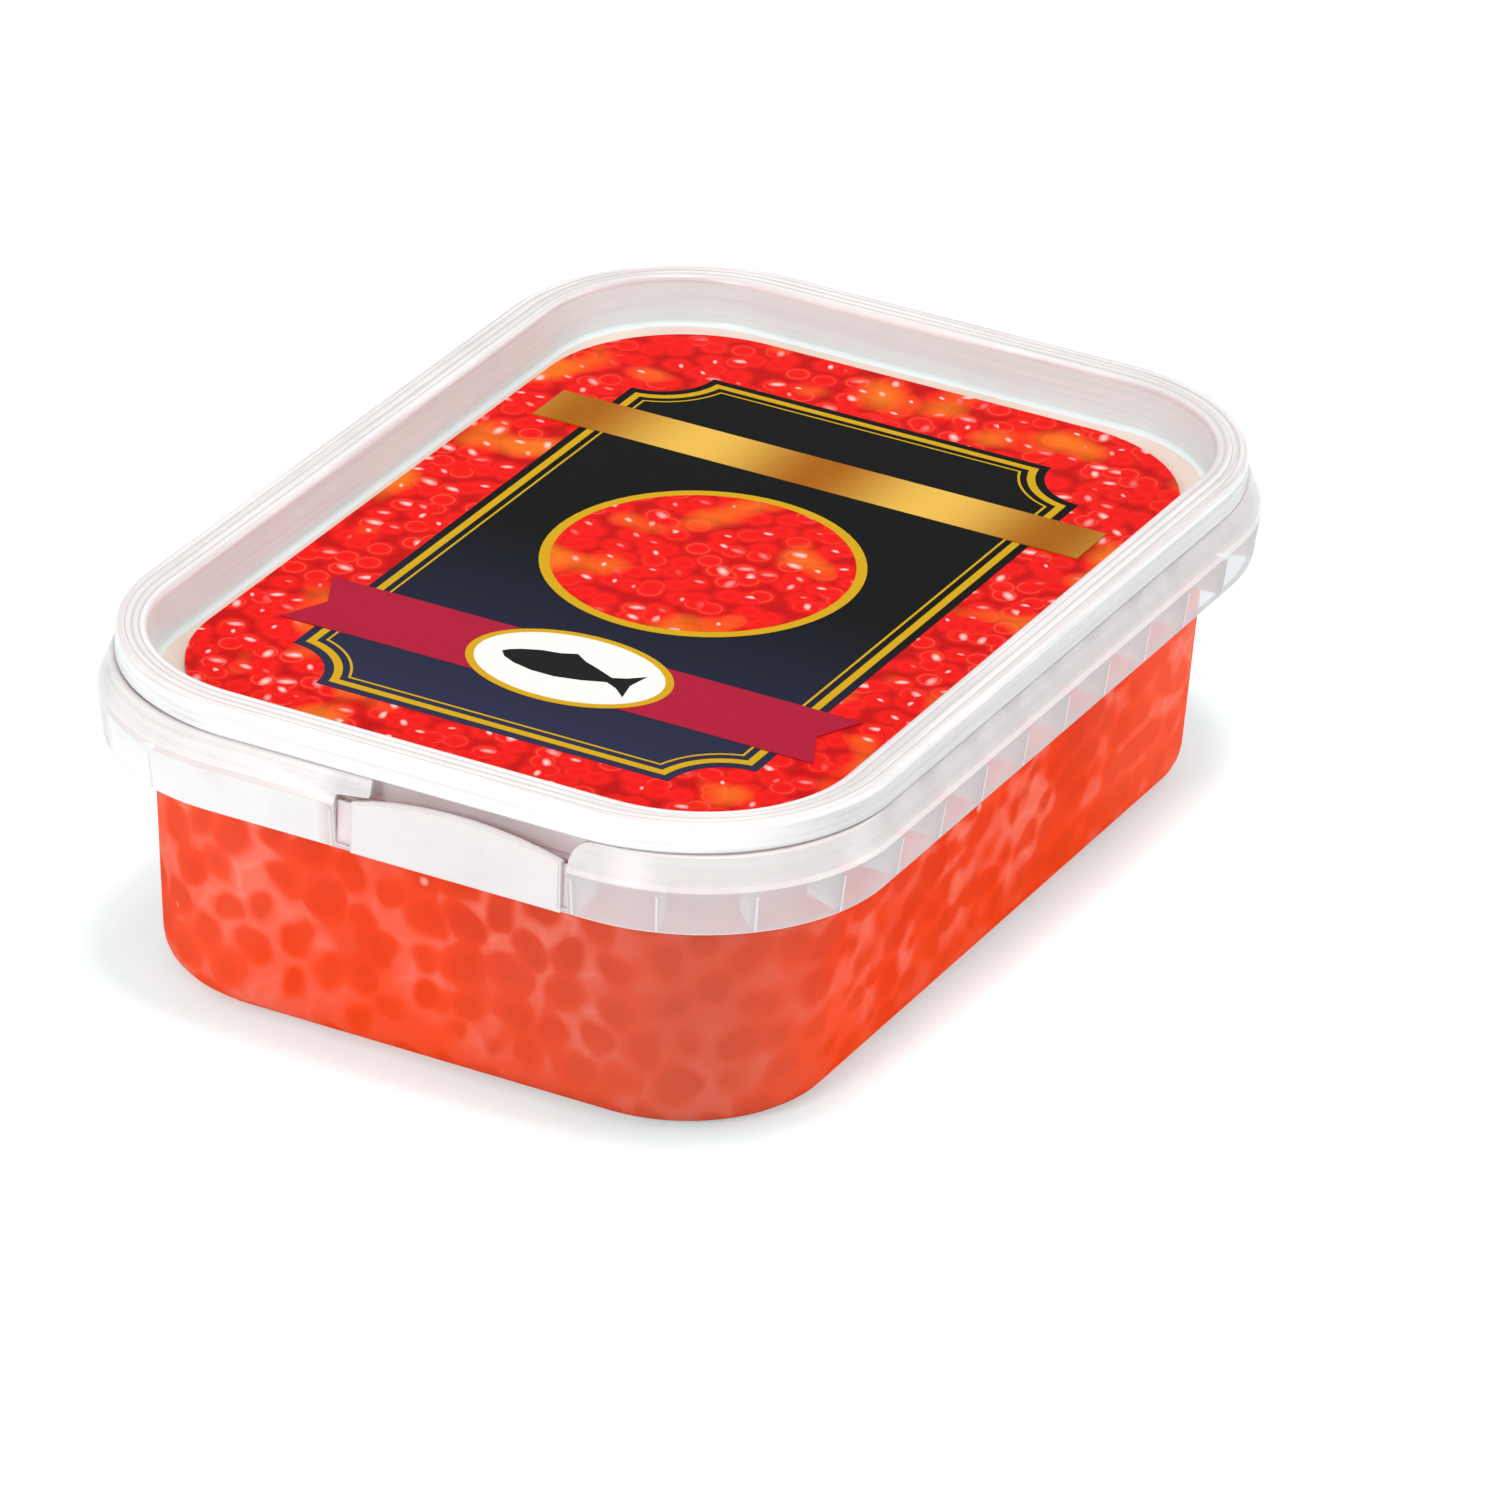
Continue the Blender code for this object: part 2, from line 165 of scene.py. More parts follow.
def make_floor():
    mesh = bpy.data.meshes.new("floor")
    half = FLOOR_SIZE / 2
    mesh.from_pydata(
        [(x * half, y * half, -FLOOR_GAP) for x, y in ((-1, -1), (1, -1), (1, 1), (-1, 1))],
        [], [(0, 1, 2, 3)])
    paper, tree = new_material(
        "white_sweep", Base_Color=FLOOR_COLOUR, Roughness=0.8, Specular_IOR_Level=0.0,
        Emission_Color=FLOOR_GLOW, Emission_Strength=1.0)
    beside = maths(tree, "ABSOLUTE", places_in(tree)[1]["X"])
    share = maths(
        tree, "MULTIPLY", ranged(tree, beside, *SIDE_GLOW_START),
        ranged(tree, beside, *SIDE_GLOW_END, 1.0, 0.0))
    set_shader(paper, Emission_Color=blended(tree, share, FLOOR_GLOW, SIDE_GLOW))
    mesh.materials.append(paper)
    floor = link_object("floor", mesh)


def make_light():
    world = bpy.data.worlds.new("sky")
    world.use_nodes = True
    set_inputs(world.node_tree, world.node_tree.nodes["Background"], {
        "Color": (1, 1, 1, 1), "Strength": SKY_STRENGTH})
    bpy.context.scene.world = world
    for name, place, size, power in LAMPS:
        lamp = link_object(name, bpy.data.lights.new(name, "AREA"))
        lamp.data.size = size
        lamp.data.energy = power
        lamp.data.color = LAMP_COLOUR
        lamp.location = place
        lamp.rotation_euler = (-Vector(place)).to_track_quat("-Z", "Y").to_euler()
    bpy.context.scene.view_settings.view_transform = "Standard"


make_floor()
make_light()

# Tub
# Thin-walled polypropylene, injection moulded in one shot: clear where it is thin and milky
# where it is thick. Its wall leans outwards and ends in a rim that the lid grips.
tub_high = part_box("tub")[1]
HALF_WIDTH = tub_high.x
HALF_LENGTH = tub_high.y
CORNERS = ((1, 1), (-1, 1), (-1, -1), (1, -1))
CORNER_STEPS = 22
FOOT_INSET = 8.1 * MM
FOOT_RADIUS = 20.5 * MM
DRAFT = 0.0545
BASE_FILLET = 4.2 * MM
FILLET_STEPS = 6
WALL = 0.55 * MM
BASE = 0.7 * MM
COLLAR_RADIUS = 27.4 * MM
WEB_BOTTOM = 37.6 * MM
WEB_TOP = 38.4 * MM
RIM_INSET = 3.9 * MM
RIM_FOOT_INSET = 4.3 * MM
RIM_RADIUS = 23.0 * MM
RIM_THICKNESS = 1.4 * MM
SHOULDER_TOP = 39.2 * MM
SHOULDER_BOTTOM = 37.8 * MM
EDGE_ROUND = 0.3 * MM
SHARP_ANGLE = math.radians(40.0)


def rounded_ring(inset_x, inset_y, radius, height, steps=CORNER_STEPS):
    """Points of a rounded rectangle, anticlockwise from the +X side."""
    centre_x = HALF_WIDTH - inset_x - radius
    centre_y = HALF_LENGTH - inset_y - radius
    points = []
    for corner, (side_x, side_y) in enumerate(CORNERS):
        for step in range(steps + 1):
            angle = QUARTER_TURN * (corner + step / steps)
            points.append(Vector((
                side_x * centre_x + radius * math.cos(angle),
                side_y * centre_y + radius * math.sin(angle),
                height)))
    return points


def parallel_ring(inset, height, base_inset, base_radius):
    """A ring parallel to the one that has base_radius at base_inset."""
    return rounded_ring(inset, inset, base_radius + base_inset - inset, height)


def band_faces(shape, low, high):
    """Faces from one closed loop of points to the next."""
    afters = [*range(1, len(low)), 0]
    return [shape.faces.new((low[at], low[after], high[after], high[at]))
            for at, after in enumerate(afters)]


def closed_plate(shape, *outlines):
    """Closes two outlines to a plate and returns its faces."""
    low, high = ([shape.verts.new(point) for point in outline] for outline in outlines)
    return [shape.faces.new(low), shape.faces.new(high), *band_faces(shape, low, high)]


def loft(rings, capped=True, slots=None):
    """Mesh that follows the rings in turn, capped at both ends or closed on itself.

    slots gives the material slot of each band between two rings.
    """
    shape = bmesh.new()
    loops = [[shape.verts.new(point) for point in points] for points in rings]
    pairs = list(zip(loops, loops[1:]))
    if not capped:
        pairs.append((loops[-1], loops[0]))
    slots = slots or [0] * len(pairs)
    for slot, pair in zip(slots, pairs):
        for face in band_faces(shape, *pair):
            face.material_index = slot
    if capped:
        shape.faces.new(loops[0]).material_index = slots[0]
        shape.faces.new(loops[-1]).material_index = slots[-1]
    return shape


def finish_mesh(name, shape, materials, angle=SHARP_ANGLE):
    """Object from a bmesh, shaded smooth but for edges sharper than the angle."""
    bmesh.ops.recalc_face_normals(shape, faces=shape.faces)
    mesh = bpy.data.meshes.new(name)
    shape.to_mesh(mesh)
    shape.free()
    for material in materials:
        mesh.materials.append(material)
    mesh.shade_smooth()
    mesh.set_sharp_from_angle(angle=angle)
    return link_object(name, mesh)


def hand_over(piece, node):
    """The piece rides on the only body and stands for the node, which it hides."""
    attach(piece, "root")
    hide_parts(node)


def wall_inset(height):
    return FOOT_INSET - DRAFT * height


def foot_ring(inset, height):
    return parallel_ring(inset, height, FOOT_INSET, FOOT_RADIUS)


def wall_ring(height, depth):
    return foot_ring(wall_inset(height) + depth, height)


def fillet_rings(depth, floor, fillet, ring=foot_ring):
    """Rings round the bottom edge, from the floor up to the wall."""
    rings = []
    for step in range(FILLET_STEPS + 1):
        angle = QUARTER_TURN * (1 - step / FILLET_STEPS)
        height = floor + fillet * (1 - math.sin(angle))
        rings.append(ring(
            wall_inset(height) + depth + fillet * (1 - math.cos(angle)), height))
    return rings


STREAK_SIZE = 0.7 * MM
STREAK_LENGTH = 45 * MM
CLOUD_SIZE = 9 * MM
# Painted light: the span over which the front end is painted paler, where the most light
# falls.
LIT_FRONT_SPAN = (-55 * MM, -71 * MM)
MILKY_LEFT_OF = (-8 * MM, -11 * MM)
MILKY_BEFORE = (-64 * MM, -70 * MM)
MILKY_COLOUR = "#dedad9"
STREAK_COLOUR = "#a8a1a6"


def noise_in(tree, place, size, detail=2.0, **inputs):
    """Noise with patches of about that size."""
    return add_node(tree, "ShaderNodeTexNoise", {
        "Vector": place, "Scale": 1 / size, "Detail": detail, **inputs}).outputs["Fac"]


def vector_maths(tree, operation, *values):
    outputs = add_node(
        tree, "ShaderNodeVectorMath", enumerate(values), operation=operation).outputs
    return outputs["Value" if operation == "LENGTH" else "Vector"]


def streaks_in(tree, place, parts):
    """Noise drawn out along the rim, as the flow of the plastic leaves it."""
    core = (HALF_WIDTH - COLLAR_RADIUS, HALF_LENGTH - COLLAR_RADIUS, 1.0)
    beyond = vector_maths(tree, "SUBTRACT", vector_maths(tree, "ABSOLUTE", place), core)
    beyond = vector_maths(tree, "MAXIMUM", beyond, (0.0, 0.0, 0.0))
    drawn = add_node(tree, "ShaderNodeCombineXYZ", {
        "X": vector_maths(tree, "LENGTH", beyond), "Y": parts["Z"],
        "Z": maths(tree, "ADD", parts["X"], parts["Y"])}).outputs["Vector"]
    drawn = vector_maths(
        tree, "MULTIPLY", drawn, (1 / STREAK_SIZE, 1 / STREAK_SIZE, 1 / STREAK_LENGTH))
    return noise_in(tree, drawn, 1.0)


def plastic(name, colour, alpha, spread=0.07, roughness=0.3, specular=0.5,
            milky_corner=0.0, streaks=0.0, lit_front_colour=""):
    """Natural polypropylene: milky, faintly uneven in thickness, with a satin skin.

    alpha is how much one face hides, spread how much that varies from place to place,
    milky_corner how much more the stretch left of the tear tab hides, streaks how
    strongly greyer streaks show, and lit_front_colour a paler colour painted on the
    front end, where the most light falls: painted light.
    """
    material, tree = new_material(
        name + "_polypropylene", Roughness=roughness, IOR=1.49, Specular_IOR_Level=specular)
    place, parts = places_in(tree)
    milk = ranged(
        tree, noise_in(tree, place, CLOUD_SIZE, 3.0, Roughness=0.55), 0.3, 0.7,
        max(alpha - spread, 0.0), min(alpha + spread, 1.0))
    shade = linear(colour)
    # Painted light: the front end is painted paler, as the most light falls on it.
    if lit_front_colour:
        shade = blended(
            tree, ranged(tree, parts["Y"], *LIT_FRONT_SPAN), shade, linear(lit_front_colour))
    if milky_corner:
        left = ranged(tree, parts["X"], *MILKY_LEFT_OF, 0.0, milky_corner)
        milk = maths(
            tree, "MULTIPLY_ADD", left, ranged(tree, parts["Y"], *MILKY_BEFORE), milk)
        milkier = ranged(tree, milk, alpha + spread, alpha + milky_corner)
        shade = blended(tree, milkier, shade, linear(MILKY_COLOUR))
    if streaks:
        flow = ranged(tree, streaks_in(tree, place, parts), 0.42, 0.78, 0.0, streaks)
        shade = blended(tree, flow, shade, linear(STREAK_COLOUR))
    return set_shader(material, Base_Color=shade, Alpha=milk)


def make_tub_wall():
    """The wall, base and rim, from under the base, up, over the rim and down inside."""
    rim_top = tub_high.z
    rim_inner = RIM_INSET + RIM_THICKNESS

    def rim(inset, height):
        return parallel_ring(inset, height, RIM_INSET, RIM_RADIUS)

    rings = fillet_rings(0.0, 0.0, BASE_FILLET)
    rings += [
        wall_ring(WEB_BOTTOM, 0.0),
        rim(RIM_FOOT_INSET, WEB_TOP),
        rim(RIM_INSET, rim_top - EDGE_ROUND),
        rim(RIM_INSET + EDGE_ROUND, rim_top),
        rim(rim_inner - EDGE_ROUND, rim_top),
        rim(rim_inner, rim_top - EDGE_ROUND),
        rim(rim_inner + RIM_FOOT_INSET - RIM_INSET, SHOULDER_TOP),
        wall_ring(SHOULDER_BOTTOM, WALL),
    ]
    slots = [0] * (FILLET_STEPS + 1) + [1] * 7
    rings += reversed(fillet_rings(WALL, BASE, BASE_FILLET - WALL))
    slots += [0] * (len(rings) - len(slots))
    clear = plastic("clear", "#f7b9a4", 0.015, 0.015, specular=0.0)
    milky = plastic("rim", "#f6eeee", 0.8)
    wall = finish_mesh("tub_wall", loft(rings, slots=slots), [clear, milky])
    hand_over(wall, "tub")


make_tub_wall()

# Collar
# A skirt moulded round the rim on a flat web. It hides the lid's edge, and it is stiffened
# by ribs that run from the wall to the skirt below the web.
COLLAR_BOTTOM = 32.2 * MM
COLLAR_STEP = 38.4 * MM
COLLAR_TOP = 42.4 * MM
COLLAR_LEAN = 0.8 * MM
COLLAR_NECK = 1.6 * MM
COLLAR_THICKNESS = 0.8 * MM
STEP_HEIGHT = 0.5 * MM
STEP_DEPTH = 0.35 * MM
TAB_LEFT = -6.3 * MM
TAB_RIGHT = 23.2 * MM
TAB_END_HEIGHT = 39.2 * MM
TAB_RISE = 1.9 * MM
LEFT_SLIT = 2.2 * MM
RIGHT_SLIT = 0.8 * MM
TOP_SLIT = 0.4 * MM
SLIT_BOTTOM = 32.8 * MM
WINDOW_LEFT = -3.9 * MM
SHOULDER_ROUND = 3.1 * MM
SHOULDER_STEPS = 8
GAP_HEADROOM = 1.0 * MM
CUT_DEPTH = 3.0 * MM
EDGE_WIDTH = 0.14 * MM
TAB_MARGIN = 0.35 * MM
TAB_STEPS = 24
TAB_BACK_ROUND = 0.15 * MM
TAB_FACE_ROUND = 0.1 * MM
TAB_PLATE = (0.45 * MM, 1.35 * MM)
TAB_FACE = (0.3 * MM, 0.7 * MM)
TAB_FIN = (1.0 * MM, 2.6 * MM)
TAB_WEB = (1.2 * MM, 1.5 * MM)
WEB_BELOW_SLIT = 0.3 * MM
WEB_BELOW_TAB = 0.6 * MM
WEB_LAP = 0.2 * MM
LUG_HALF_WIDTH = 4.4 * MM
LUG_HEIGHT = 3.6 * MM
LUG_THICKNESS = 0.4 * MM
LUG_INSET = 2.6 * MM
LUG_SUNK = 0.1 * MM
LUG_STEPS = 16
RIB_THICKNESS = 0.45 * MM
RIB_IN_WALL = 0.4 * MM
RIB_RAISED = 0.2 * MM
ROOT_WIDTH = 0.3 * MM
ROOT_PROUD = 0.02 * MM
ROOT_SHORT = 0.1 * MM
RIB_PITCH = 11.3 * MM
SIDE_RIBS = 9
BACK_RIBS = 5
BACK_RIB_PITCH = 11.8 * MM
CORNER_RIB_ANGLES = (19.0, 45.0, 71.0)
FRONT_RIB_PLACES = (-9.1 * MM, 24.7 * MM)


def collar_ring(inset, height):
    return parallel_ring(inset, height, 0.0, COLLAR_RADIUS)


def front_prism(outline, depths):
    """Closed mesh through the front of the collar, from an outline of x and z."""
    shape = bmesh.new()
    closed_plate(shape, *(
        [(x, -HALF_LENGTH + depth, z) for x, z in outline] for depth in depths))
    return shape


def tab_height(place):
    """Height of the tab's arched top edge at one place along the front."""
    middle = (TAB_LEFT + TAB_RIGHT) / 2
    half = (TAB_RIGHT - TAB_LEFT) / 2
    return TAB_END_HEIGHT + TAB_RISE * (1 - ((place - middle) / half) ** 2)


def tab_gap_outline():
    """Outline of all that is open round the tab, and the tab itself."""
    top = COLLAR_TOP + GAP_HEADROOM
    left = TAB_LEFT - LEFT_SLIT
    right = TAB_RIGHT + RIGHT_SLIT
    outline = [
        (WINDOW_LEFT, top),
        (WINDOW_LEFT, tab_height(WINDOW_LEFT) + TOP_SLIT),
        (left, TAB_END_HEIGHT + TOP_SLIT),
        (left, SLIT_BOTTOM),
        (right, SLIT_BOTTOM),
    ]
    for step in range(SHOULDER_STEPS + 1):
        angle = QUARTER_TURN * step / SHOULDER_STEPS
        outline.append((
            right + SHOULDER_ROUND * (1 - math.cos(angle)),
            COLLAR_TOP - SHOULDER_ROUND * (1 - math.sin(angle))))
    outline.append((right + SHOULDER_ROUND, top))
    return outline


def apply_modifiers(piece):
    bpy.context.view_layer.update()
    evaluated = piece.evaluated_get(bpy.context.evaluated_depsgraph_get())
    mesh = bpy.data.meshes.new_from_object(evaluated)
    piece.modifiers.clear()
    piece.data = mesh
    mesh.name = piece.name
    return mesh


def round_edges(piece, width, slot=-1):
    """Rounds the sharp edges, as a mould leaves them; slot is what the rounding shows."""
    modifier = piece.modifiers.new("round", "BEVEL")
    modifier.width = width
    modifier.segments = 2
    modifier.material = slot
    modifier.limit_method = "ANGLE"
    modifier.angle_limit = SHARP_ANGLE
    mesh = apply_modifiers(piece)
    mesh.shade_smooth()
    mesh.set_sharp_from_angle(angle=SHARP_ANGLE)


def make_collar(clear, milky, bright, inner):
    rings = [
        collar_ring(COLLAR_LEAN + COLLAR_THICKNESS, COLLAR_BOTTOM),
        collar_ring(COLLAR_LEAN, COLLAR_BOTTOM),
        collar_ring(0.0, COLLAR_STEP),
        collar_ring(STEP_DEPTH, COLLAR_STEP + STEP_HEIGHT),
        collar_ring(COLLAR_NECK, COLLAR_TOP),
        collar_ring(COLLAR_NECK + COLLAR_THICKNESS, COLLAR_TOP),
        collar_ring(STEP_DEPTH + COLLAR_THICKNESS, WEB_TOP),
        parallel_ring(RIM_FOOT_INSET, WEB_TOP, RIM_INSET, RIM_RADIUS),
        parallel_ring(RIM_FOOT_INSET + WALL, WEB_BOTTOM, RIM_INSET, RIM_RADIUS),
        collar_ring(COLLAR_THICKNESS, WEB_BOTTOM),
    ]
    # Slot 2, the paler edge finish, goes on the bottom, the step, the top and the web: a
    # painted highlight along the edges, and painted light on the web, which lies in shade
    # under the lid.
    slots = [2, 0, 2, 1, 2, 3, 2, 3, 3, 3]
    collar = finish_mesh(
        "collar", loft(rings, capped=False, slots=slots), [clear, milky, bright, inner])
    cutter = finish_mesh("cutter", front_prism(tab_gap_outline(), (-CUT_DEPTH, CUT_DEPTH)), [])
    modifier = collar.modifiers.new("cut", "BOOLEAN")
    modifier.object = cutter
    modifier.operation = "DIFFERENCE"
    apply_modifiers(collar)
    bpy.data.objects.remove(cutter)
    # The rounding shows the paler edge finish too: a painted highlight along the edges.
    round_edges(collar, EDGE_WIDTH, 2)
    hand_over(collar, "tub")


def tab_outline(shrink):
    """Outline of the tab's arched plate, or that far inside it."""
    left, right = TAB_LEFT + shrink, TAB_RIGHT - shrink
    outline = [(left, COLLAR_BOTTOM + shrink), (right, COLLAR_BOTTOM + shrink)]
    for step in range(TAB_STEPS + 1):
        place = right + (left - right) * step / TAB_STEPS
        outline.append((place, tab_height(place) - shrink))
    return outline


def make_tear_tab(milky, bright, web):
    """The tab: a plate with an arched top and a narrow bright margin, its fin, and webs."""
    def plate(name, outline, depths, finish):
        return finish_mesh(name, front_prism(outline, depths), [finish])

    def upright(left, right, bottom, top):
        return [(left, bottom), (right, bottom), (right, top), (left, top)]

    back = plate("tear_tab", tab_outline(0.0), TAB_PLATE, bright)
    round_edges(back, TAB_BACK_ROUND)
    face = plate("tear_tab_face", tab_outline(TAB_MARGIN), TAB_FACE, milky)
    round_edges(face, TAB_FACE_ROUND)
    fin = plate("tear_tab_fin", upright(
        TAB_LEFT, TAB_LEFT + RIB_THICKNESS, SLIT_BOTTOM, TAB_END_HEIGHT), TAB_FIN, bright)
    webs = [
        plate("tear_web", upright(
            left, right, SLIT_BOTTOM - WEB_BELOW_SLIT, TAB_END_HEIGHT - WEB_BELOW_TAB),
            TAB_WEB, web)
        for left, right in (
            (TAB_LEFT - LEFT_SLIT, TAB_LEFT), (TAB_RIGHT - WEB_LAP, TAB_RIGHT + RIGHT_SLIT))]
    for piece in (back, face, fin, *webs):
        hand_over(piece, "tub")


def run_on_points(name, points, attributes, tree, inputs):
    """Runs geometry nodes on loose points and returns the result as plain mesh.

    attributes gives the kind and the values of each attribute of the points.
    """
    mesh = bpy.data.meshes.new(name)
    mesh.from_pydata([tuple(point) for point in points], [], [])
    for key, (kind, values) in attributes.items():
        attribute = mesh.attributes.new(key, kind, "POINT")
        field = "vector" if kind == "FLOAT_VECTOR" else "value"
        attribute.data.foreach_set(field, np.asarray(values, np.float32).ravel())
    piece = link_object(name, mesh)
    modifier = piece.modifiers.new("nodes", "NODES")
    modifier.node_group = tree
    for item in tree.interface.items_tree:
        if item.in_out == "INPUT" and item.name in inputs:
            modifier[item.identifier] = inputs[item.name]
    apply_modifiers(piece)
    return piece


def node_group(name, inputs):
    """Geometry node group that gives out a geometry, and its inputs' sockets."""
    tree = bpy.data.node_groups.new(name, "GeometryNodeTree")
    for key, kind in inputs.items():
        tree.interface.new_socket(key, in_out="INPUT", socket_type="NodeSocket" + kind)
    tree.interface.new_socket("Result", in_out="OUTPUT", socket_type="NodeSocketGeometry")
    return tree, add_node(tree, "NodeGroupInput").outputs


def named_values(tree, name, kind="FLOAT"):
    return add_node(tree, "GeometryNodeInputNamedAttribute", {"Name": name},
                    data_type=kind).outputs["Attribute"]


def realize(tree, instances):
    return add_node(tree, "GeometryNodeRealizeInstances", {
        "Geometry": instances.outputs["Instances"]}).outputs["Geometry"]


def give_out(tree, geometry, material):
    """Paints the geometry and gives it out."""
    painted = add_node(tree, "GeometryNodeSetMaterial", {
        "Geometry": geometry, "Material": material})
    add_node(tree, "NodeGroupOutput", {"Result": painted.outputs["Geometry"]})


def standing_tree():
    """Geometry nodes that stand a shape on each point, turned and leaning outwards."""
    tree, source = node_group("standing_shapes", {
        "Points": "Geometry", "Shape": "Object", "Lean": "Float", "Material": "Material"})
    shape = add_node(tree, "GeometryNodeObjectInfo", {"Object": source["Shape"]})
    angles = add_node(tree, "ShaderNodeCombineXYZ", {"Z": named_values(tree, "turn")})
    stand = add_node(tree, "GeometryNodeInstanceOnPoints", {
        "Points": source["Points"], "Instance": shape.outputs["Geometry"],
        "Rotation": angles.outputs["Vector"]})
    position = add_node(tree, "GeometryNodeInputPosition").outputs["Position"]
    height = add_node(tree, "ShaderNodeSeparateXYZ", {"Vector": position}).outputs["Z"]
    above = maths(tree, "SUBTRACT", height, COLLAR_BOTTOM)
    offset = vector_maths(
        tree, "MULTIPLY", named_values(tree, "outwards", "FLOAT_VECTOR"),
        maths(tree, "MULTIPLY", above, source["Lean"]))
    moved = add_node(tree, "GeometryNodeSetPosition", {
        "Geometry": realize(tree, stand), "Offset": offset})
    give_out(tree, moved.outputs["Geometry"], source["Material"])
    return tree


def along_side(count, pitch, side_x, side_y):
    """Evenly spaced places, and their outward direction, along one straight side."""
    outwards = Vector((side_x, side_y, 0))
    middle = Vector((side_x * HALF_WIDTH, side_y * HALF_LENGTH, 0))
    along = Vector((abs(side_y), abs(side_x), 0))
    return [(middle + along * (index - (count - 1) / 2) * pitch, outwards)
            for index in range(count)]


def along_sides(more):
    """Places of the ribs along both sides and the back, with that many more on each."""
    return (
        along_side(SIDE_RIBS + more, RIB_PITCH, 1, 0)
        + along_side(SIDE_RIBS + more, RIB_PITCH, -1, 0)
        + along_side(BACK_RIBS + more, BACK_RIB_PITCH, 0, 1))


def around_corners():
    """Places of the ribs round the four corners."""
    places = []
    for side_x, side_y in CORNERS:
        centre = Vector((
            side_x * (HALF_WIDTH - COLLAR_RADIUS), side_y * (HALF_LENGTH - COLLAR_RADIUS), 0))
        for degrees in CORNER_RIB_ANGLES:
            angle = math.radians(degrees)
            outwards = Vector((side_x * math.cos(angle), side_y * math.sin(angle), 0))
            places.append((centre + outwards * COLLAR_RADIUS, outwards))
    return places


def stand_shapes(name, places, inset, height, shape, lean, material):
    """Stands the shape at each place, that far inside the collar's widest outline."""
    points = [foot - outwards * inset + Vector((0, 0, height)) for foot, outwards in places]
    model = finish_mesh("shape", shape, [])
    pieces = run_on_points(name, points, {
        "turn": ("FLOAT", [math.atan2(outwards.y, outwards.x) for _, outwards in places]),
        "outwards": ("FLOAT_VECTOR", [outwards for _, outwards in places])},
        standing_tree(), {"Shape": model, "Lean": lean, "Material": material})
    bpy.data.objects.remove(model)
    hand_over(pieces, "tub")


def block(size):
    """Box of that size on the ground plane, centred."""
    shape = bmesh.new()
    bmesh.ops.create_cube(shape, size=1.0)
    bmesh.ops.scale(shape, vec=size, verts=shape.verts)
    bmesh.ops.translate(shape, vec=(0, 0, size[2] / 2), verts=shape.verts)
    return shape


def make_lug():
    """Half-round lug on the web, behind the collar, that the lid's skirt rests on."""
    shape = bmesh.new()
    angles = [math.pi * step / LUG_STEPS for step in range(LUG_STEPS + 1)]
    closed_plate(shape, *(
        [(depth, LUG_HALF_WIDTH * math.cos(angle), LUG_HEIGHT * math.sin(angle))
         for angle in angles] for depth in (-LUG_THICKNESS / 2, LUG_THICKNESS / 2)))
    return shape


def make_ribs(faint, bright):
    """Thin plates from wall to collar, each with a bright seam where it meets the collar."""
    places = along_sides(0)
    places += [(Vector((x, -HALF_LENGTH, 0)), Vector((0, -1, 0))) for x in FRONT_RIB_PLACES]
    places += around_corners()
    root = COLLAR_LEAN + COLLAR_THICKNESS
    inner = wall_inset(COLLAR_BOTTOM) + RIB_IN_WALL
    height = WEB_BOTTOM - COLLAR_BOTTOM - RIB_RAISED
    lean = COLLAR_LEAN / (COLLAR_STEP - COLLAR_BOTTOM)
    bottom = COLLAR_BOTTOM + RIB_RAISED
    plate = block((inner - root, RIB_THICKNESS, height))
    stand_shapes("collar_ribs", places, (root + inner) / 2, bottom, plate, lean, faint)
    seam = block((COLLAR_THICKNESS, ROOT_WIDTH, height - ROOT_SHORT))
    stand_shapes(
        "collar_rib_roots", places, COLLAR_LEAN + COLLAR_THICKNESS / 2 - ROOT_PROUD, bottom,
        seam, lean, bright)


# The paler front colours below are painted light on the front end.
collar_plastic = plastic(
    "clear_collar", "#bab4b6", 0.7, 0.04, milky_corner=0.28, lit_front_colour="#cac4c5")
band_plastic = plastic(
    "milky_collar", "#d8d4d4", 0.74, 0.05, milky_corner=0.24, streaks=0.25,
    lit_front_colour="#e0dcdc")
# The paler edge finish: a painted highlight on the collar's edges, step and top, and painted
# light on its web; the tab's back plate and fin and the ribs' seams take it too.
edge_plastic = plastic("collar_edge", "#e2dddd", 0.8, 0.03)
tab_plastic = plastic("thick_milky", "#e0d9d8", 0.9, 0.04)
rib_plastic = plastic("rib", "#fbf9f9", 0.95, 0.04)
web_plastic = plastic("web", "#f4e6e5", 0.7, 0.04)
skin_plastic = plastic("inner_skin", "#efecec", 0.08, 0.03, specular=0.1)
make_collar(collar_plastic, band_plastic, edge_plastic, skin_plastic)
make_tear_tab(tab_plastic, edge_plastic, web_plastic)
make_ribs(rib_plastic, edge_plastic)
stand_shapes(
    "collar_lugs", along_sides(1), LUG_INSET, WEB_TOP - LUG_SUNK, make_lug(), 0.0, rib_plastic)

# Lid
# Milky polypropylene with a hollow ridge that grips the rim, a skirt that meets the
# collar, and a sunken panel for the label, so that tubs stack.
LID_INSET = 1.45 * MM
LID_RADIUS = 28.0 * MM
RIDGE_INSET = 6.55 * MM
RIDGE_RADIUS = 20.5 * MM
SKIRT_BOTTOM = 42.45 * MM
RIDGE_ROUND = 0.9 * MM
ROUND_STEPS = 4
GROOVES = 3
GROOVE_DEPTH = 0.1 * MM
# The bottom of each groove takes slot 2, a darker grey: painted shade in the grooves.
GROOVE_STEPS = (
    (0.26 * MM, 0.0, 0), (0.08 * MM, 1.0, 2), (-0.08 * MM, 1.0, 0), (-0.26 * MM, 0.0, 0))
LID_THICKNESS = 0.7 * MM
PANEL_TOP = 39.6 * MM
PANEL_THICKNESS = 0.7 * MM
PANEL_ROUND = 0.9 * MM
PANEL_LEAN = 0.6 * MM
lid_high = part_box("lid")[1]


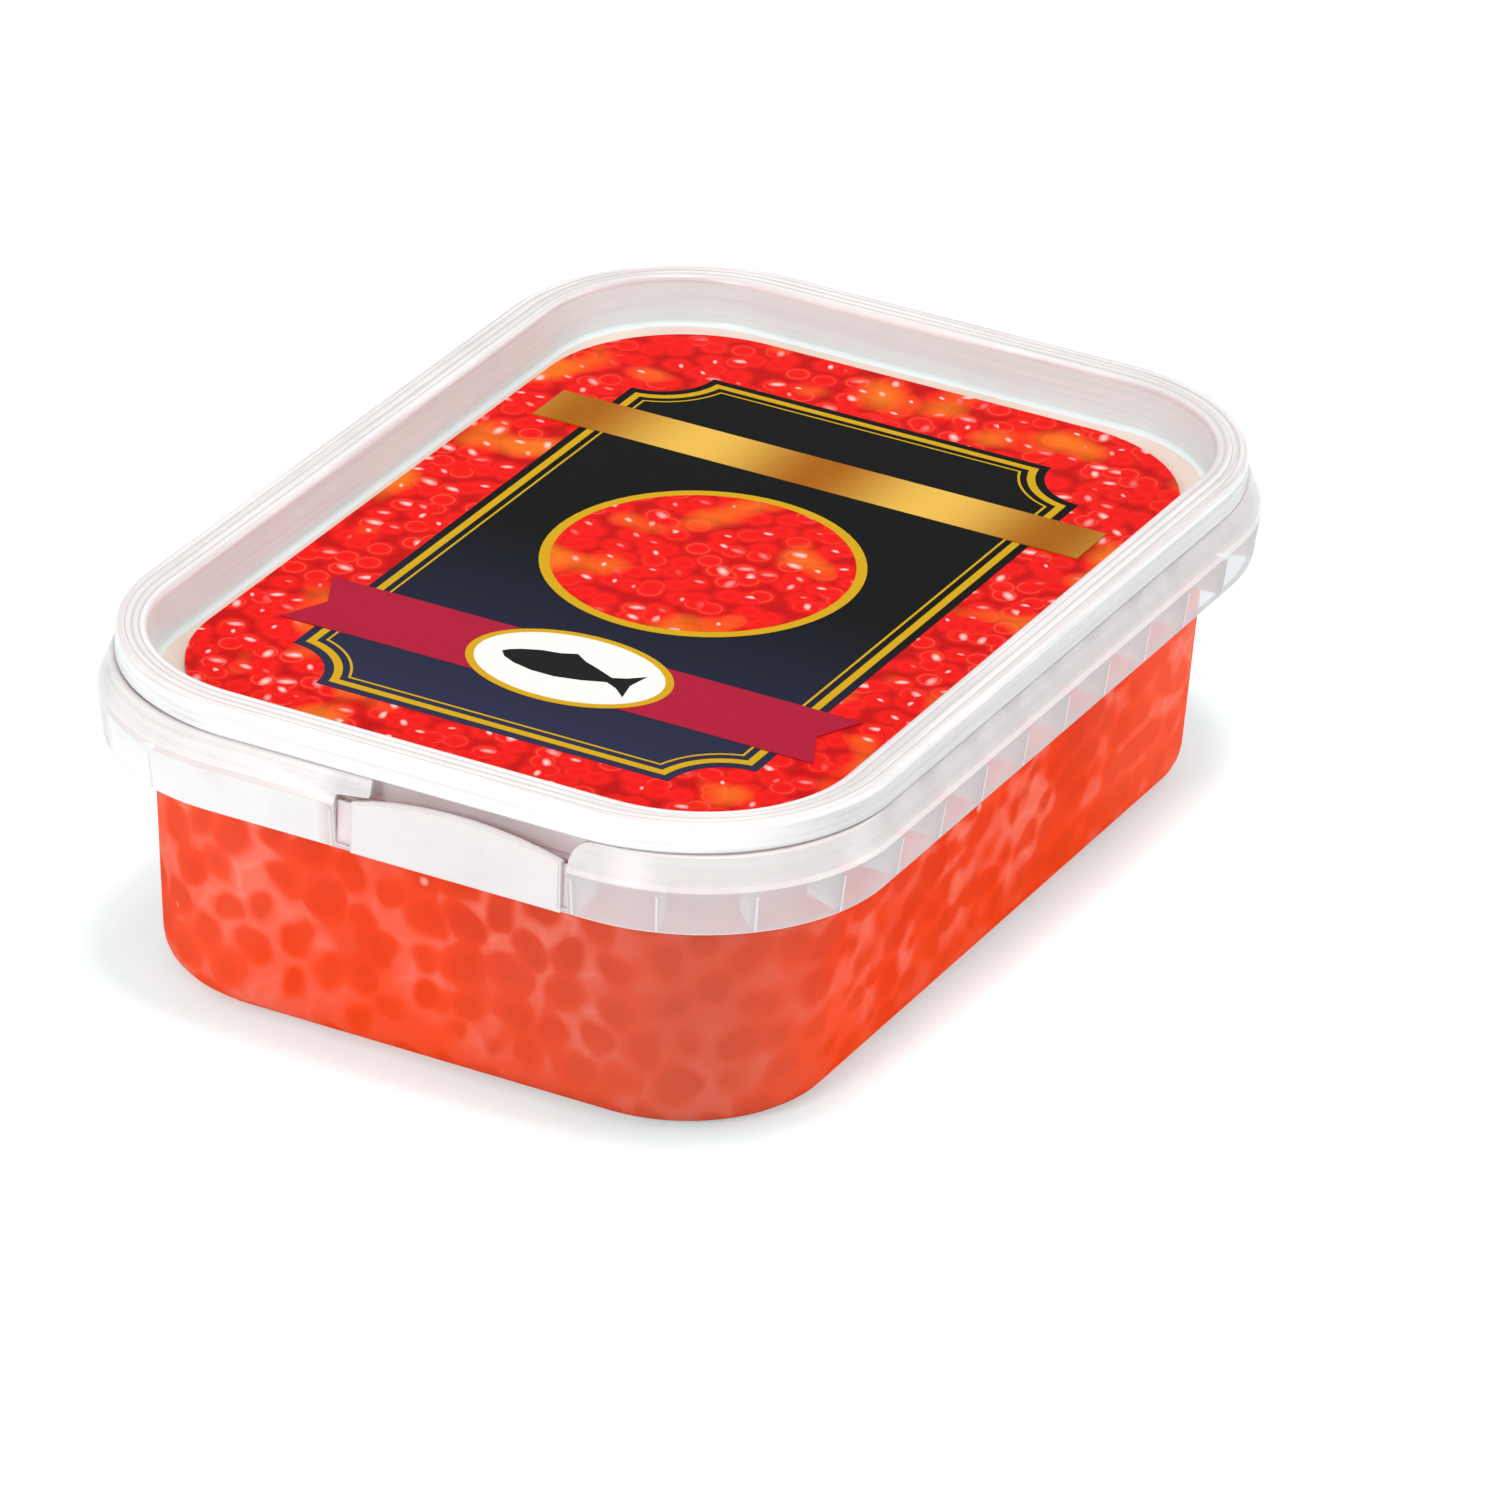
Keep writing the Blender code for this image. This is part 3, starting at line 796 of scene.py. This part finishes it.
def make_lid():
    top = lid_high.z

    def inner(inset, height):
        return parallel_ring(inset, height, RIDGE_INSET, RIDGE_RADIUS)

    def outer(inset, height):
        return parallel_ring(inset, height, LID_INSET, LID_RADIUS)

    def between(inset, height):
        share = (inset - LID_INSET) / (RIDGE_INSET - LID_INSET)
        radius = LID_RADIUS + share * (RIDGE_RADIUS - LID_RADIUS)
        return rounded_ring(inset, inset, radius, height)

    rings, slots = [], []

    def add(slot, *new):
        rings.extend(new)
        slots.extend([slot] * len(new))

    angles = [QUARTER_TURN * step / ROUND_STEPS for step in range(ROUND_STEPS + 1)]
    for angle in angles:
        add(5 if angle else 1, inner(
            RIDGE_INSET + PANEL_LEAN + PANEL_ROUND * (1 - math.sin(angle)),
            PANEL_TOP + PANEL_ROUND * (1 - math.cos(angle))))
    for angle in angles:
        inset = RIDGE_INSET - RIDGE_ROUND * (1 - math.cos(angle))
        add(0, between(inset, top - RIDGE_ROUND * (1 - math.sin(angle))))
    left, right = LID_INSET + RIDGE_ROUND, RIDGE_INSET - RIDGE_ROUND
    for groove in range(GROOVES):
        middle = right - (groove + 0.5) * (right - left) / GROOVES
        for shift, depth, slot in GROOVE_STEPS:
            add(slot, between(middle + shift, top - depth * GROOVE_DEPTH))
    for angle in reversed(angles):
        inset = LID_INSET + RIDGE_ROUND * (1 - math.cos(angle))
        add(0, between(inset, top - RIDGE_ROUND * (1 - math.sin(angle))))
    ceiling = top - LID_THICKNESS - GROOVE_DEPTH
    plug = RIDGE_INSET - LID_THICKNESS
    panel_bottom = PANEL_TOP - PANEL_THICKNESS
    slots[-1] = 3
    add(3, outer(LID_INSET, SKIRT_BOTTOM + EDGE_ROUND),
        outer(LID_INSET + EDGE_ROUND, SKIRT_BOTTOM))
    add(4, outer(LID_INSET + LID_THICKNESS, SKIRT_BOTTOM),
        outer(LID_INSET + LID_THICKNESS, ceiling),
        inner(plug, ceiling),
        inner(plug + PANEL_LEAN, PANEL_TOP),
        inner(plug + PANEL_LEAN + PANEL_ROUND, panel_bottom))
    # The paler front colours below are painted light on the front end.
    finishes = [
        plastic("lid", "#e8e7e6", 0.94, 0.04, 0.2, streaks=0.5, lit_front_colour="#f0eeec"),
        plastic("lid_panel", "#ecdfd2", 0.8, 0.05),
        # Painted shade: the grooves' bottoms are painted darker grey.
        plastic("lid_groove", "#c2bfc1", 0.94, 0.04),
        plastic("lid_skirt", "#d3cfd0", 0.88, 0.04, 0.25, streaks=0.35,
                lit_front_colour="#f3f0f0"),
        skin_plastic,
        plastic("lid_slope", "#dcebeb", 0.97, 0.02, 0.25, streaks=0.15)]
    lid = finish_mesh("lid_shell", loft(rings, slots=slots), finishes)
    hand_over(lid, "lid")


make_lid()

# Label
# A glossy printed film laid in the panel: a border printed like roe, a dark plaque with
# gold lines, two bands, and a round and an oval medallion with plain motifs.
label_low, label_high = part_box("label")
LABEL_RADIUS = 21.5 * MM
FILM_STEP = 0.03 * MM
PLAQUE_HALF_WIDTH = 33.0 * MM
PLAQUE_HALF_LENGTH = 52.0 * MM
PLAQUE_NOTCH = 8.0 * MM
NOTCH_STEPS = 12
THICK_LINE = 1.1 * MM
THICK_LINE_INSET = 1.2 * MM
THIN_LINE = 0.35 * MM
THIN_LINE_INSET = 3.2 * MM
GOLD_BAND = (34 * MM, 4.2 * MM, 40 * MM, 0.0)
RED_BAND = (-32 * MM, 6.5 * MM, 38 * MM, 3 * MM)
ROUND_MIDDLE = 3 * MM
ROUND_RADIUS = 21 * MM
ROUND_LINE = 1.4 * MM
OVAL_MIDDLE = -32 * MM
OVAL_SIZE = (14 * MM, 9.5 * MM)
OVAL_INSIDE = (12.9 * MM, 8.5 * MM)
ELLIPSE_STEPS = 72
FISH_MIDDLE = -32.3 * MM
FISH_HALF_LENGTH = 9.5 * MM


def plaque_outline(shrink):
    """Outline of the plaque, whose corners are hollow quarter circles."""
    notch = PLAQUE_NOTCH + shrink
    first = math.asin(shrink / notch)
    points = []
    for side_x, side_y in CORNERS:
        for step in range(NOTCH_STEPS + 1):
            turn = step / NOTCH_STEPS if side_x * side_y > 0 else 1 - step / NOTCH_STEPS
            angle = first + (QUARTER_TURN - 2 * first) * turn
            points.append((
                side_x * (PLAQUE_HALF_WIDTH - notch * math.sin(angle)),
                side_y * (PLAQUE_HALF_LENGTH - notch * math.cos(angle))))
    return points


def ellipse_outline(middle, half_x, half_y):
    angles = [2 * math.pi * step / ELLIPSE_STEPS for step in range(ELLIPSE_STEPS)]
    return [(half_x * math.cos(angle), middle + half_y * math.sin(angle)) for angle in angles]


def band_outline(middle, half_height, half_width, notch):
    """A straight band whose ends are cut to a V."""
    return [
        (-half_width, middle - half_height), (half_width, middle - half_height),
        (half_width - notch, middle), (half_width, middle + half_height),
        (-half_width, middle + half_height), (-half_width + notch, middle)]


# The outline of a plain fish from the side
FISH = (
    (-1.0, 0.0), (-0.9, -0.12), (-0.7, -0.22), (-0.4, -0.29), (-0.05, -0.29), (0.3, -0.2),
    (0.62, -0.07), (0.8, -0.16), (1.0, -0.34), (0.93, 0.0), (1.0, 0.34), (0.8, 0.16),
    (0.62, 0.07), (0.3, 0.22), (0.1, 0.3), (-0.1, 0.44), (-0.3, 0.34), (-0.55, 0.29),
    (-0.8, 0.18), (-0.94, 0.08))


BEAD_SIZE = 3.4 * MM
WARM_PATCH_SIZE = 13 * MM
GLINT_PLACE = (-0.3, -0.9, 0)
GLINT_SCALE = (1 / MM, 1.9 / MM, 0)
GOLD_WAVE = 110 * MM


def print_ink(name, colour, roughness=0.4):
    return new_material(
        name, Base_Color=linear(colour), Roughness=roughness, Specular_IOR_Level=0.03)


def roe_print():
    """Print of roe: red beads with dark joints, orange ones among them and pale glints."""
    material, tree = print_ink("roe_print", "#e0180c")
    place = places_in(tree)[0]
    bead = add_node(tree, "ShaderNodeTexVoronoi", {
        "Vector": place, "Scale": 1 / BEAD_SIZE, "Randomness": 0.95},
        voronoi_dimensions="2D", feature="F1").outputs
    chance = add_node(tree, "ShaderNodeSeparateColor", {"Color": bead["Color"]}).outputs
    tones = add_node(tree, "ShaderNodeValToRGB", {"Fac": bead["Distance"]})
    ramp = tones.color_ramp
    ramp.elements[0].color = linear("#d8100e")
    ramp.elements[0].position = 0.1
    ramp.elements[1].color = linear("#b40808")
    ramp.elements[1].position = 0.75
    ramp.elements.new(0.4).color = linear("#e01812")
    warm = ranged(tree, noise_in(tree, place, WARM_PATCH_SIZE, 1.0), 0.57, 0.72, 0.0, 0.6)
    colour = blended(tree, warm, tones.outputs["Color"], linear("#e8861c"))

    def smooth(*limits):
        return ranged(tree, bead["Distance"], *limits, interpolation_type="SMOOTHSTEP")

    ring = maths(tree, "MULTIPLY", smooth(0.36, 0.44), smooth(0.44, 0.5, 1.0, 0.0))
    ringed = ranged(tree, chance["Blue"], 0.5, 0.9, 0.0, 0.3)
    colour = blended(tree, maths(tree, "MULTIPLY", ring, ringed), colour, linear("#ec7a58"))
    turned = add_node(tree, "ShaderNodeVectorRotate", {
        "Vector": vector_maths(tree, "SUBTRACT", place, bead["Position"]),
        "Angle": ranged(tree, chance["Green"], 0.0, 1.0, -0.6, 1.6)}, rotation_type="Z_AXIS")
    spot = vector_maths(
        tree, "MULTIPLY_ADD", turned.outputs["Vector"], GLINT_SCALE, GLINT_PLACE)
    reach = ranged(tree, chance["Blue"], 0.0, 1.0, 0.5, 1.5)
    glint = ranged(tree, vector_maths(tree, "LENGTH", spot), 0.25, reach, 0.9, 0.0)
    chosen = ranged(tree, chance["Red"], 0.45, 0.75)
    colour = blended(tree, maths(tree, "MULTIPLY", glint, chosen), colour, linear("#e8ccc6"))
    return set_shader(material, Base_Color=colour)


def plaque_print():
    """Print that fades from black at the far end to navy at the near end."""
    material, tree = print_ink("plaque_print", "#10131c")
    fade = ranged(tree, places_in(tree)[1]["Y"], -PLAQUE_HALF_LENGTH, 0.0, 1.0, 0.0)
    return set_shader(
        material, Base_Color=blended(tree, fade, linear("#0a0e0d"), linear("#282b46")))


def gold_print():
    """Gold ink with soft lighter and darker stretches across the label."""
    material, tree = print_ink("gold_print", "#e0b83a", 0.3)
    wave = add_node(tree, "ShaderNodeTexWave", {
        "Vector": places_in(tree)[0], "Scale": 1 / GOLD_WAVE, "Distortion": 0.0},
        wave_type="BANDS", bands_direction="X")
    tones = add_node(tree, "ShaderNodeValToRGB", {"Fac": wave.outputs["Fac"]})
    tones.color_ramp.elements[0].color = linear("#9a5a04")
    tones.color_ramp.elements[1].color = linear("#d8b04c")
    return set_shader(material, Base_Color=tones.outputs["Color"])


def make_label():
    """The film, and on it each printed field, a thin plate a few film steps high."""
    shape = bmesh.new()
    insets = (HALF_WIDTH - label_high.x, HALF_LENGTH - label_high.y)
    closed_plate(shape, *(
        rounded_ring(*insets, LABEL_RADIUS, height) for height in (label_low.z, label_high.z)))
    inside = ROUND_RADIUS - ROUND_LINE
    fish = [(FISH_HALF_LENGTH * x, FISH_MIDDLE + FISH_HALF_LENGTH * y) for x, y in FISH]
    for outline, level, slot in (
            (plaque_outline(0.0), 1, 1),
            (plaque_outline(THICK_LINE_INSET), 2, 3),
            (plaque_outline(THICK_LINE_INSET + THICK_LINE), 3, 1),
            (plaque_outline(THIN_LINE_INSET), 4, 3),
            (plaque_outline(THIN_LINE_INSET + THIN_LINE), 5, 1),
            (band_outline(*GOLD_BAND), 6, 2),
            (band_outline(*RED_BAND), 6, 4),
            (ellipse_outline(ROUND_MIDDLE, ROUND_RADIUS, ROUND_RADIUS), 6, 3),
            (ellipse_outline(ROUND_MIDDLE, inside, inside), 7, 0),
            (ellipse_outline(OVAL_MIDDLE, *OVAL_SIZE), 7, 3),
            (ellipse_outline(OVAL_MIDDLE, *OVAL_INSIDE), 8, 5),
            (fish, 9, 6)):
        heights = (label_high.z - FILM_STEP, label_high.z + level * FILM_STEP)
        for face in closed_plate(shape, *([(x, y, z) for x, y in outline] for z in heights)):
            face.material_index = slot
    inks = [roe_print(), plaque_print(), gold_print()]
    inks += [print_ink(name + "_print", colour)[0] for name, colour in (
        ("yellow_line", "#c29b14"), ("crimson", "#a01834"), ("white", "#e6e4e1"),
        ("dark", "#17181a"))]
    label = finish_mesh("label_film", shape, inks, math.radians(30.0))
    hand_over(label, "label")


make_label()

# Roe
# Loose salmon eggs, 5.2 to 6.8 mm across, in a little milky brine. They fill the tub and
# press flat against its wall, base and lid; between them the brine shows paler.
EGG_RADIUS = (2.6 * MM, 3.4 * MM)
PRESSED = 0.55
REACH = 0.25 * MM
FLOOR = BASE - REACH
ROOF = PANEL_TOP - PANEL_THICKNESS
WALL_EGGS = 480
FLOOR_EGGS = 330
ROOF_EGGS = 150
TRIES = 40000
WALL_ZONE = 5 * MM
ROOF_ZONE = (4 * MM, 13 * MM)
ROE_SEED = 11
RELAX_STEPS = 80
BRINE_PITCH = 0.8 * MM
FLAT_PITCH = 1.3 * MM
ROOF_STEPS = 8
LEAST_RADIUS = 0.4 * MM
BASE_HOLE = 1.0 * MM
NEAR_EGGS = 8
FAINTNESS = (-0.3, 0.45)
WIDEST_GAP = 1.2
GAP_SCALE = 0.75 * MM
BLEND = 0.26
BLEND_LEAST = 0.1
BLEND_SPREAD = 0.36
BLEND_SIZE = 12 * MM
WARP = 1.3 * MM
WARP_SIZE = 4.5 * MM
SIDE_STRETCH = 0.5
SIDE_PARTING = 0.55
YOLK_CLOUD_SIZE = 3 * MM
SKIN_GAP = 0.05 * MM
CORE_DEPTH = 4.2 * MM
CORE_BEVEL = 2 * MM
CORE_CELLS = 6 * MM
# How much darker the painted shade makes the roe's front right corner.
CORNER_SHADE = (0.74, 0.78, 0.85, 1.0)


def cavity_depth(points):
    """How far inside the tub's filled space each point is, and the way in to the middle.

    The space is the tub's inside grown by REACH, so that what fills it meets the wall.
    """
    height = points[:, 2]
    inset = wall_inset(height) + WALL - REACH
    fillet = BASE_FILLET - WALL
    rise = np.clip(1 - (height - FLOOR) / fillet, 0, 1)
    inset = inset + fillet * (1 - np.sqrt(np.clip(1 - rise ** 2, 0, 1)))
    radius = FOOT_RADIUS + FOOT_INSET - inset
    core = np.stack([HALF_WIDTH - inset - radius, HALF_LENGTH - inset - radius], 1)
    sign = np.where(points[:, :2] < 0, -1.0, 1.0)
    beyond = np.abs(points[:, :2]) - core
    corner = np.maximum(beyond, 0)
    length = np.linalg.norm(corner, axis=1)
    outside = length > 0
    depth = np.where(outside, radius - length, radius - beyond.max(1))
    along_x = beyond[:, 0] > beyond[:, 1]
    way = np.where(along_x[:, None], [[1.0, 0.0]], [[0.0, 1.0]])
    way = np.where(outside[:, None], corner / np.maximum(length, 1e-9)[:, None], way)
    return depth, -way * sign


def keep_inside(points, margin):
    """Moves points inwards until each is its margin inside the wall, base and roof."""
    depth, inwards = cavity_depth(points)
    short = np.maximum(margin - depth, 0)
    points[:, :2] += inwards * short[:, None]
    points[:, 2] = np.clip(points[:, 2], FLOOR + margin, ROOF - margin)
    return points


def scatter_eggs():
    """Centres and radii of eggs pressed to the wall, to the base and to the roof's edge."""
    draw = np.random.default_rng(ROE_SEED)
    low = np.array([-HALF_WIDTH, -HALF_LENGTH, 0.0])
    span = np.array([2 * HALF_WIDTH, 2 * HALF_LENGTH, ROOF])
    tries = low + span * draw.random((TRIES, 3))
    depth, _ = cavity_depth(tries)
    inside = depth > 0
    groups = [
        tries[inside & (depth < WALL_ZONE)][:WALL_EGGS],
        tries[inside & (depth > WALL_ZONE)][:FLOOR_EGGS],
        tries[inside & (depth > ROOF_ZONE[0]) & (depth < ROOF_ZONE[1])][-ROOF_EGGS:]]
    group = np.repeat([0, 1, 2], [len(members) for members in groups])
    centres = np.concatenate(groups)
    radii = draw.uniform(*EGG_RADIUS, len(centres))
    pressed = radii * PRESSED
    same = np.eye(len(centres))
    for _ in range(RELAX_STEPS):
        apart = centres[:, None, :] - centres[None, :, :]
        distance = np.linalg.norm(apart, axis=2) + same
        room = (radii[:, None] + radii[None, :]) * 0.97
        overlap = np.maximum(room - distance, 0) * (1 - same)
        push = (apart / distance[:, :, None] * overlap[:, :, None]).sum(1)
        centres = centres + 0.3 * push
        depth, inwards = cavity_depth(centres)
        to_wall = np.where(group == 0, depth - pressed, 0.0)
        centres[:, :2] -= inwards * to_wall[:, None]
        centres[:, 2] = np.where(group == 1, FLOOR + pressed, centres[:, 2])
        centres[:, 2] = np.where(group == 2, ROOF - pressed, centres[:, 2])
        centres = keep_inside(centres, pressed)
    return centres, radii


def egg_tree():
    """Geometry nodes that put a turned, slightly uneven ball on each point."""
    tree, source = node_group("eggs", {
        "Points": "Geometry", "Segments": "Int", "Rings": "Int", "Seed": "Int",
        "Material": "Material"})

    def drawn(kind, low, high, first):
        """A random value for each point; first is the number of its lowest socket."""
        return add_node(tree, "FunctionNodeRandomValue", {
            first: low, first + 1: high, "Seed": source["Seed"]}, data_type=kind)

    ball = add_node(tree, "GeometryNodeMeshUVSphere", {
        "Segments": source["Segments"], "Rings": source["Rings"], "Radius": 1.0})
    uneven = drawn("FLOAT_VECTOR", (0.94,) * 3, (1.05,) * 3, 0)
    size = vector_maths(
        tree, "MULTIPLY", uneven.outputs[0], named_values(tree, "radius"))
    turn = drawn("FLOAT_VECTOR", (0.0,) * 3, (math.pi,) * 3, 0)
    tinted = add_node(tree, "GeometryNodeStoreNamedAttribute", {
        "Geometry": source["Points"], "Name": "tint",
        "Value": drawn("FLOAT", 0.0, 1.0, 2).outputs[1]}, data_type="FLOAT", domain="POINT")
    placed = add_node(tree, "GeometryNodeInstanceOnPoints", {
        "Points": tinted.outputs["Geometry"], "Instance": ball.outputs["Mesh"],
        "Rotation": turn.outputs[0], "Scale": size})
    smooth = add_node(tree, "GeometryNodeSetShadeSmooth", {"Geometry": realize(tree, placed)})
    give_out(tree, smooth.outputs["Geometry"], source["Material"])
    return tree


def egg_material():
    """Egg skin: clear and wet over an orange-red yolk that differs from egg to egg."""
    material, tree = new_material("salmon_egg", Roughness=0.2, IOR=1.36)
    tint = add_node(tree, "ShaderNodeAttribute", attribute_name="tint").outputs["Fac"]
    cloud = noise_in(tree, places_in(tree)[0], YOLK_CLOUD_SIZE)
    skin = blended(tree, tint, linear("#e02404"), linear("#f63a0e"))
    skin = blended(tree, ranged(tree, cloud, 0.35, 0.75, 0.0, 0.45), skin, linear("#ff5a22"))
    return set_shader(material, Base_Color=skin)


def make_eggs(centres, radii):
    eggs = run_on_points("salmon_eggs", centres, {"radius": ("FLOAT", radii)}, egg_tree(), {
        "Segments": 12, "Rings": 8, "Seed": ROE_SEED, "Material": egg_material()})
    places = np.empty(len(eggs.data.vertices) * 3, np.float32)
    eggs.data.vertices.foreach_get("co", places)
    places = keep_inside(places.reshape(-1, 3).astype(float), SKIN_GAP)
    eggs.data.vertices.foreach_set("co", places.astype(np.float32).ravel())
    eggs.data.update()
    hand_over(eggs, "roe")


def brine_material():
    """Milky brine: red where eggs press on the wall, pale in drifts where they part, with
    painted light and painted shade.
    """
    material, tree = new_material(
        "milky_brine", Roughness=0.5, IOR=1.34, Specular_IOR_Level=0.0)
    gap = add_node(tree, "ShaderNodeAttribute", attribute_name="gap").outputs["Fac"]
    place, parts = places_in(tree)

    def cloud(size, low, high, *shares, detail=2.0):
        return ranged(tree, noise_in(tree, place, size * MM, detail), low, high, *shares)

    def cells(size, feature):
        return add_node(tree, "ShaderNodeTexVoronoi", {
            "Vector": place, "Scale": 1 / (size * MM)}, feature=feature).outputs["Distance"]

    def along(axis, low, high, *shares):
        return ranged(tree, parts[axis], low * MM, high * MM, *shares)

    def both(operation, first, second):
        return maths(tree, operation, first, second, clamp=True)

    drifts = both("ADD", cloud(24, 0.4, 0.62), along("Z", 5, 30, -0.5, 0.3))
    drifts = both("ADD", drifts, along("Y", 10, 50, 0.0, 0.8))
    drifts = both("ADD", drifts, along("X", -5, -30, 0.0, 0.7))
    # Painted light: paler towards the far end and the left, where more light falls, laid over
    # the pale brine drifts.
    lit_paler = both("ADD", along("Y", 15, 55, 0.0, 0.6), along("X", -10, -40, 0.0, 0.35))
    merging = maths(tree, "ADD", gap, cloud(10, 0.33, 0.67, -1.5, 0.6))
    parted = ranged(tree, merging, -0.4, 0.75)
    veins = ranged(tree, cells(5.5, "DISTANCE_TO_EDGE"), 0.0, 0.12, 0.16, 0.0)
    # Painted shade: the front right corner, where less light falls, is painted duller and then
    # darker.
    corner = both("MULTIPLY", along("X", 2, 40), along("Y", -46, -66))
    colour = blended(
        tree, cloud(11, 0.35, 0.65, detail=3.0), linear("#dd3a1a"), linear("#ee4521"))
    for share, tint in (
            (both("MULTIPLY", drifts, 0.5), "#d2361c"),
            (along("Z", 22, 4, 0.0, 0.6), "#e84212"),
            (ranged(tree, merging, -0.8, 0.0, 0.0, 0.3), "#ec5a40"),
            (both("MULTIPLY", lit_paler, drifts), "#ff6a50"),
            (both("MULTIPLY", parted, drifts), "#ea6a56"),
            (both("MULTIPLY", both("MULTIPLY", veins, drifts), parted), "#ffae9e"),
            # Small pale specks: painted glints, a painted highlight.
            (ranged(tree, cells(12, "F1"), 0.02, 0.07, 0.7, 0.0), "#ffcabb"),
            # Painted shade on the front right corner: a duller tint.
            (both("MULTIPLY", corner, 0.42), "#d2705a")):
        colour = blended(tree, share, colour, linear(tint))
    # Painted shade on the front right corner: multiplied darker.
    colour = blended(tree, corner, colour, CORNER_SHADE, blend_type="MULTIPLY")
    return set_shader(
        material, Base_Color=colour, Alpha=ranged(tree, gap, -0.9, -0.4, 0.92, 1.0))


def brine_ring(inset, height):
    """A ring like rounded_ring, with points all along its straight sides."""
    radius = max(FOOT_RADIUS + FOOT_INSET - inset, LEAST_RADIUS)
    steps = math.ceil((FOOT_RADIUS + 2 * MM) * QUARTER_TURN / BRINE_PITCH)
    ring = rounded_ring(inset, inset, radius, height, steps)
    points = []
    for corner in range(len(CORNERS)):
        start = corner * (steps + 1)
        end = start + steps
        points += ring[start:end]
        parts = math.ceil(2 * (HALF_LENGTH if corner % 2 else HALF_WIDTH) / BRINE_PITCH)
        after = ring[(end + 1) % len(ring)]
        points += [ring[end].lerp(after, part / parts) for part in range(parts)]
    return points


def brine_rings():
    """Rings of the filled space: across the base, up the wall and in under the roof."""
    fillet = BASE_FILLET - WALL
    outset = WALL - REACH
    edge = wall_inset(FLOOR) + outset + fillet
    reach_in = HALF_WIDTH - edge - BASE_HOLE
    base_steps = int(reach_in / FLAT_PITCH)
    rings = [brine_ring(edge + reach_in * step / base_steps, FLOOR)
             for step in range(base_steps, 0, -1)]
    rings += fillet_rings(outset, FLOOR, fillet, brine_ring)
    rise = ROOF - FLOOR - fillet
    steps = int(rise / BRINE_PITCH)
    for step in range(1, steps + 1):
        height = FLOOR + fillet + rise * step / steps
        rings.append(brine_ring(wall_inset(height) + outset, height))
    return rings + [brine_ring(wall_inset(ROOF) + outset + step * FLAT_PITCH, ROOF)
                    for step in range(1, ROOF_STEPS + 1)]


def make_brine(centres, radii):
    brine = finish_mesh("brine", loft(brine_rings()), [brine_material()], math.radians(60.0))
    tree = KDTree(len(centres))
    for index, centre in enumerate(centres):
        tree.insert(centre, index)
    tree.balance()
    draw = np.random.default_rng(ROE_SEED + 1)
    faint = draw.normal(*FAINTNESS, len(centres))
    noise.seed_set(ROE_SEED)
    gaps = []
    for vertex in brine.data.vertices:
        probe = vertex.co + WARP * noise.noise_vector(vertex.co / WARP_SIZE)
        blend = max(BLEND + BLEND_SPREAD * noise.noise(vertex.co / BLEND_SIZE), BLEND_LEAST)
        sideways = vertex.normal.x ** 2
        drawn_out = 1 + SIDE_STRETCH * sideways
        total = 0.0
        for centre, index, _ in tree.find_n(probe, NEAR_EGGS):
            apart = probe - centre
            apart.y /= drawn_out
            gap = (apart.length - radii[index]) / GAP_SCALE
            gap += min(max(faint[index] + SIDE_PARTING * sideways, 0), 1)
            total += math.exp(-gap / blend)
        gaps.append(min(max(-blend * math.log(total), -WIDEST_GAP), WIDEST_GAP))
    attribute = brine.data.attributes.new("gap", "FLOAT", "POINT")
    attribute.data.foreach_set("value", gaps)
    hand_over(brine, "roe")


def make_core():
    """What lies behind the outer eggs: the deep, even red of the mass of roe."""
    material, tree = new_material("deep_roe", Roughness=0.5)
    cells = add_node(tree, "ShaderNodeTexVoronoi", {
        "Vector": places_in(tree)[0], "Scale": 1 / CORE_CELLS}).outputs["Distance"]
    set_shader(material, Base_Color=blended(
        tree, cells, linear("#f0451f"), linear("#c21e08")))
    bottom, top = BASE + CORE_DEPTH, ROOF - CORE_DEPTH
    depth = WALL + CORE_DEPTH
    rings = [
        wall_ring(bottom, depth + CORE_BEVEL), wall_ring(bottom + CORE_BEVEL, depth),
        wall_ring(top - CORE_BEVEL, depth), wall_ring(top, depth + CORE_BEVEL)]
    hand_over(finish_mesh("deep_roe", loft(rings), [material]), "roe")


egg_centres, egg_radii = scatter_eggs()
make_eggs(egg_centres, egg_radii)
make_brine(egg_centres, egg_radii)
make_core()
